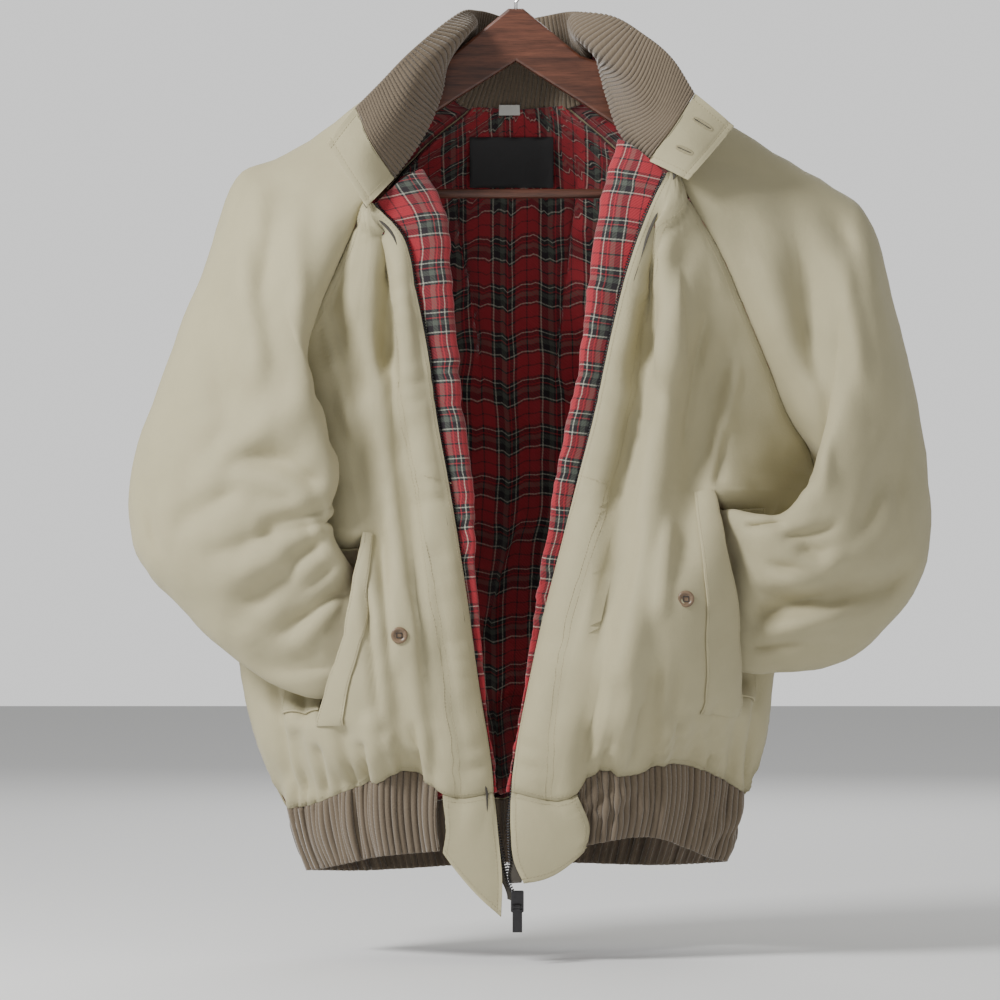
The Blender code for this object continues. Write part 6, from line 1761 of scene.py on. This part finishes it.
def sewn_lines():
    """Every line of stitching: (points, the way that the cloth faces there)."""
    cloths = shell()
    lines = []
    for side in SIDES:
        points = cloths["fronts"][side][0]
        unit = out(side) * normals(points)
        lift = SHELL_T / 2 + STITCH_LIFT
        across, wide = reach(points, 1)
        rows = np.arange(len(points))
        columns = np.arange(points.shape[1])
        for beside in FACING_STITCHES:
            at = [np.interp(FACING_WIDTH + beside, line, columns) for line in across]
            lines.append(traced(points, unit, rows, at, lift))
        lines += inset_lines(points, unit, ("col0",), ZIP_STITCH, lift)
        above = np.arange(len(points) - ROWS_RAGLAN * FINE - 1, len(points))
        for inset in RAGLAN_STITCHES:
            at = [np.interp(w[-1] - inset, a, columns) for a, w in zip(across[above], wide[above])]
            lines.append(traced(points, unit, above, at, lift))
        lines.append(traced(points, unit, np.full(len(columns) - 4, HEM_STITCH_ROW), columns[4:], lift))
        for places in CROSS_SEAMS[side]:
            spots = np.linspace(*np.array(places, float), SEAM_MARKS)
            lines.append(on_sheet(points, unit, spots, lift))
        welt, flap = pocket_points(side)
        for grid, thick in ((welt, WELT_T), (flap, FLAP_T)):
            face = out(side) * normals(grid)
            edges = ("col0", "col1") if grid is welt else ("row0", "row1", "col1")
            lines += inset_lines(grid, face, edges, POCKET_STITCH, thick / 2 + STITCH_LIFT)
        tab = tab_points(side)
        face = out(side) * normals(tab)
        lines += inset_lines(tab, face, ("row0", "row1", "col1"), TAB_STITCH, TAB_T / 2 + STITCH_LIFT)
        block, _ = block_points(side)
        face = -out(side) * normals(block)
        lines += inset_lines(block, face, ("row0", "row1", "col0", "col1"), BLOCK_STITCH,
                             BLOCK_T / 2 + STITCH_LIFT)
    return lines


def build_stitches():
    pitch = bpy.context.scene.jacket_trim.stitch_pitch / MM
    thread, slot = finish("thread"), "olive_khaki_poplin"
    repeated("stitches", sewn_lines(), "thread", pitch, STITCH_SIZE, thread)
    tab = tab_points("left")
    face = normals(tab)
    holes = [buttonhole(tab, face, *ends, TAB_T / 2 + .1) for ends in BUTTONHOLES]
    size, pitch = HOLE_THREAD
    repeated("buttonhole_threads", holes, "thread", pitch, size, thread)
    slits = [on_sheet(tab, face, np.linspace(*np.array(ends, float), 14), TAB_T / 2 + .15) for ends in BUTTONHOLES]
    size, pitch = SLIT_THREAD
    repeated("buttonhole_slits", slits, "thread", pitch, size, finish("black_thread"))


def build_stage():
    scene = bpy.context.scene
    light = scene.jacket_stage
    world = bpy.data.worlds.new("studio")
    world.use_nodes = True
    tree = world.node_tree
    back = tree.nodes["Background"]
    back.inputs["Color"].default_value = (*light.backdrop, 1)
    seen = tree.nodes.new("ShaderNodeLightPath").outputs["Is Camera Ray"]
    extra = math_node(tree, "MULTIPLY", seen, 1 - light.ambient)
    tree.links.new(math_node(tree, "ADD", extra, light.ambient), back.inputs["Strength"])
    scene.world = world
    floor_z = CAD_BOX[0][2] - FLOOR_DROP * MM
    mesh = bmesh.new()
    bmesh.ops.create_grid(mesh, x_segments=1, y_segments=1, size=FLOOR_SIZE)
    bmesh.ops.translate(mesh, verts=mesh.verts, vec=(0, 0, floor_z))
    floor_finish, _, _ = new_material("studio_floor", .9, colour=tuple(light.floor))
    floor = finished("studio_floor", mesh, [floor_finish])
    for name, place, size, power in STUDIO_LIGHTS:
        data = bpy.data.lights.new(name, "AREA")
        data.shape = "RECTANGLE"
        data.size, data.size_y = size
        data.energy = power * light.light_power
        lamp = bpy.data.objects.new(name, data)
        lamp.location = place
        aim = Vector(LIGHTS_AIM) - lamp.location
        lamp.rotation_euler = aim.to_track_quat("-Z", "Y").to_euler()
        scene.collection.objects.link(lamp)
    data = bpy.data.cameras.new("photograph_view")
    data.sensor_width = 36
    data.lens = light.lens
    data.dof.use_dof = False
    camera = bpy.data.objects.new("photograph_view", data)
    camera.location = CAMERA_AT
    camera.rotation_euler = (math.pi / 2, 0, 0)
    scene.collection.objects.link(camera)
    scene.camera = camera


# ---------------------------------------------------------------- the add-on
def colour(name, description, default):
    return FloatVectorProperty(name=name, description=description, default=default, size=3, min=0, max=1,
                               subtype="COLOR")


def length(name, description, default):
    return FloatProperty(name=name, description=description, default=default, min=0, unit="LENGTH")


class JacketCloth(bpy.types.PropertyGroup):
    khaki: colour("Khaki", "Colour of the outer cloth", (.435, .39, .235))
    # painted shade in the outer cloth's seams, also the colour of its random blotches
    khaki_shade_and_blotch: colour("Khaki shade", "Colour of the outer cloth in its seams and worn places", (.24, .215, .125))
    rib: colour("Rib", "Colour of the knitted collar, cuffs and waistband", (.155, .118, .078))
    # painted shade between the knitted ribs, also the colour of their random blotches
    rib_shade_and_blotch: colour("Rib shade", "Colour between the ribs", (.05, .036, .024))
    rib_depth: length("Rib depth", "How far a knitted rib stands out from the sheet's middle", .0009)


class JacketLining(bpy.types.PropertyGroup):
    red: colour("Red", "Ground of the tartan", (.36, .018, .028))
    black: colour("Black", "Dark bands of the tartan", (.012, .008, .011))
    green: colour("Green", "Grey-green bands of the tartan", (.08, .095, .075))
    pale: colour("Pale", "Thin light lines of the tartan", (.42, .42, .34))
    sett_across: length("Sett across", "Repeat of the tartan across the cloth", SETT_REPEAT * MM)
    sett_along: length("Sett along", "Repeat of the tartan along the cloth", SETT_REPEAT * MM)


class JacketTrim(bpy.types.PropertyGroup):
    thread: colour("Thread", "Colour of the sewing thread", (.42, .37, .22))
    metal: colour("Metal", "Colour of the zip's teeth, slider and pull", (.075, .073, .076))
    button: colour("Button", "Colour of the horn buttons", (.16, .105, .062))
    wood: colour("Wood", "Colour of the hanger", (.115, .04, .022))
    stitch_pitch: length("Stitch pitch", "From one stitch to the next", STITCH_PITCH * MM)
    tooth_pitch: length("Tooth pitch", "From one tooth of the zip to the next", .0026)


class JacketStage(bpy.types.PropertyGroup):
    backdrop: colour("Backdrop", "Colour of the studio's surroundings", (1.0, 1.0, 1.0))
    floor: colour("Floor", "Colour of the floor", (.8, .8, .79))
    ambient: FloatProperty(name="Ambient", description="Strength of the light from all round", default=.45, min=0)
    light_power: FloatProperty(name="Light power", description="Multiplies every lamp", default=1.0, min=0)
    lens: FloatProperty(name="Lens", description="Focal length of the camera in millimetres", default=190.1, min=10)


def operator(name, label, text, build):
    """An operator that runs one build function."""
    def execute(self, context):
        build()
        return {"FINISHED"}
    return type(f"JACKET_OT_{name}", (bpy.types.Operator,), {
        "__doc__": text, "bl_idname": f"jacket.{name}", "bl_label": label, "execute": execute})


OPERATORS = [
    operator("cloth", "Shell", "Make the fronts, sleeves and back with their creases", build_cloth),
    operator("ribs", "Ribs", "Make the knitted collar, waistband and cuffs", build_ribs),
    operator("tabs", "Tabs and blocks", "Make the collar's tabs and the hem blocks", build_tabs_and_blocks),
    operator("pockets", "Pockets", "Make the welts, flaps and buttons", build_pockets),
    operator("lining", "Lining", "Make the tartan lining and the bare labels", build_lining),
    operator("zip", "Zip", "Make the tapes and teeth, and finish the slider and its pull", build_zip),
    operator("stitches", "Stitches", "Sew the seams and the buttonholes", build_stitches),
    operator("hanger", "Hanger", "Finish the wooden hanger and its hook", build_hanger),
    operator("stage", "Stage", "Set up the floor, lights and camera", build_stage),
]
GROUPS = (("jacket_cloth", JacketCloth), ("jacket_lining", JacketLining), ("jacket_trim", JacketTrim),
          ("jacket_stage", JacketStage))


class JACKET_PT_panel(bpy.types.Panel):
    """Lists the jacket's operators and settings."""
    bl_idname = "JACKET_PT_panel"
    bl_label = "Bomber jacket"
    bl_space_type = "VIEW_3D"
    bl_region_type = "UI"
    bl_category = "Jacket"

    def draw(self, context):
        for item in OPERATORS:
            self.layout.operator(item.bl_idname)
        for name, group_class in GROUPS:
            settings = getattr(context.scene, name)
            box = self.layout.box()
            for key in group_class.__annotations__:
                box.prop(settings, key)


CLASSES = [group_class for _, group_class in GROUPS] + OPERATORS + [JACKET_PT_panel]


def register():
    for item in CLASSES:
        bpy.utils.register_class(item)
    for name, group_class in GROUPS:
        setattr(bpy.types.Scene, name, PointerProperty(type=group_class))


def unregister():
    for name, _ in GROUPS:
        delattr(bpy.types.Scene, name)
    for item in reversed(CLASSES):
        bpy.utils.unregister_class(item)


def main():
    register()
    for item in OPERATORS:
        getattr(bpy.ops.jacket, item.bl_idname.split(".")[1])()


if __name__ == "__main__":
    main()
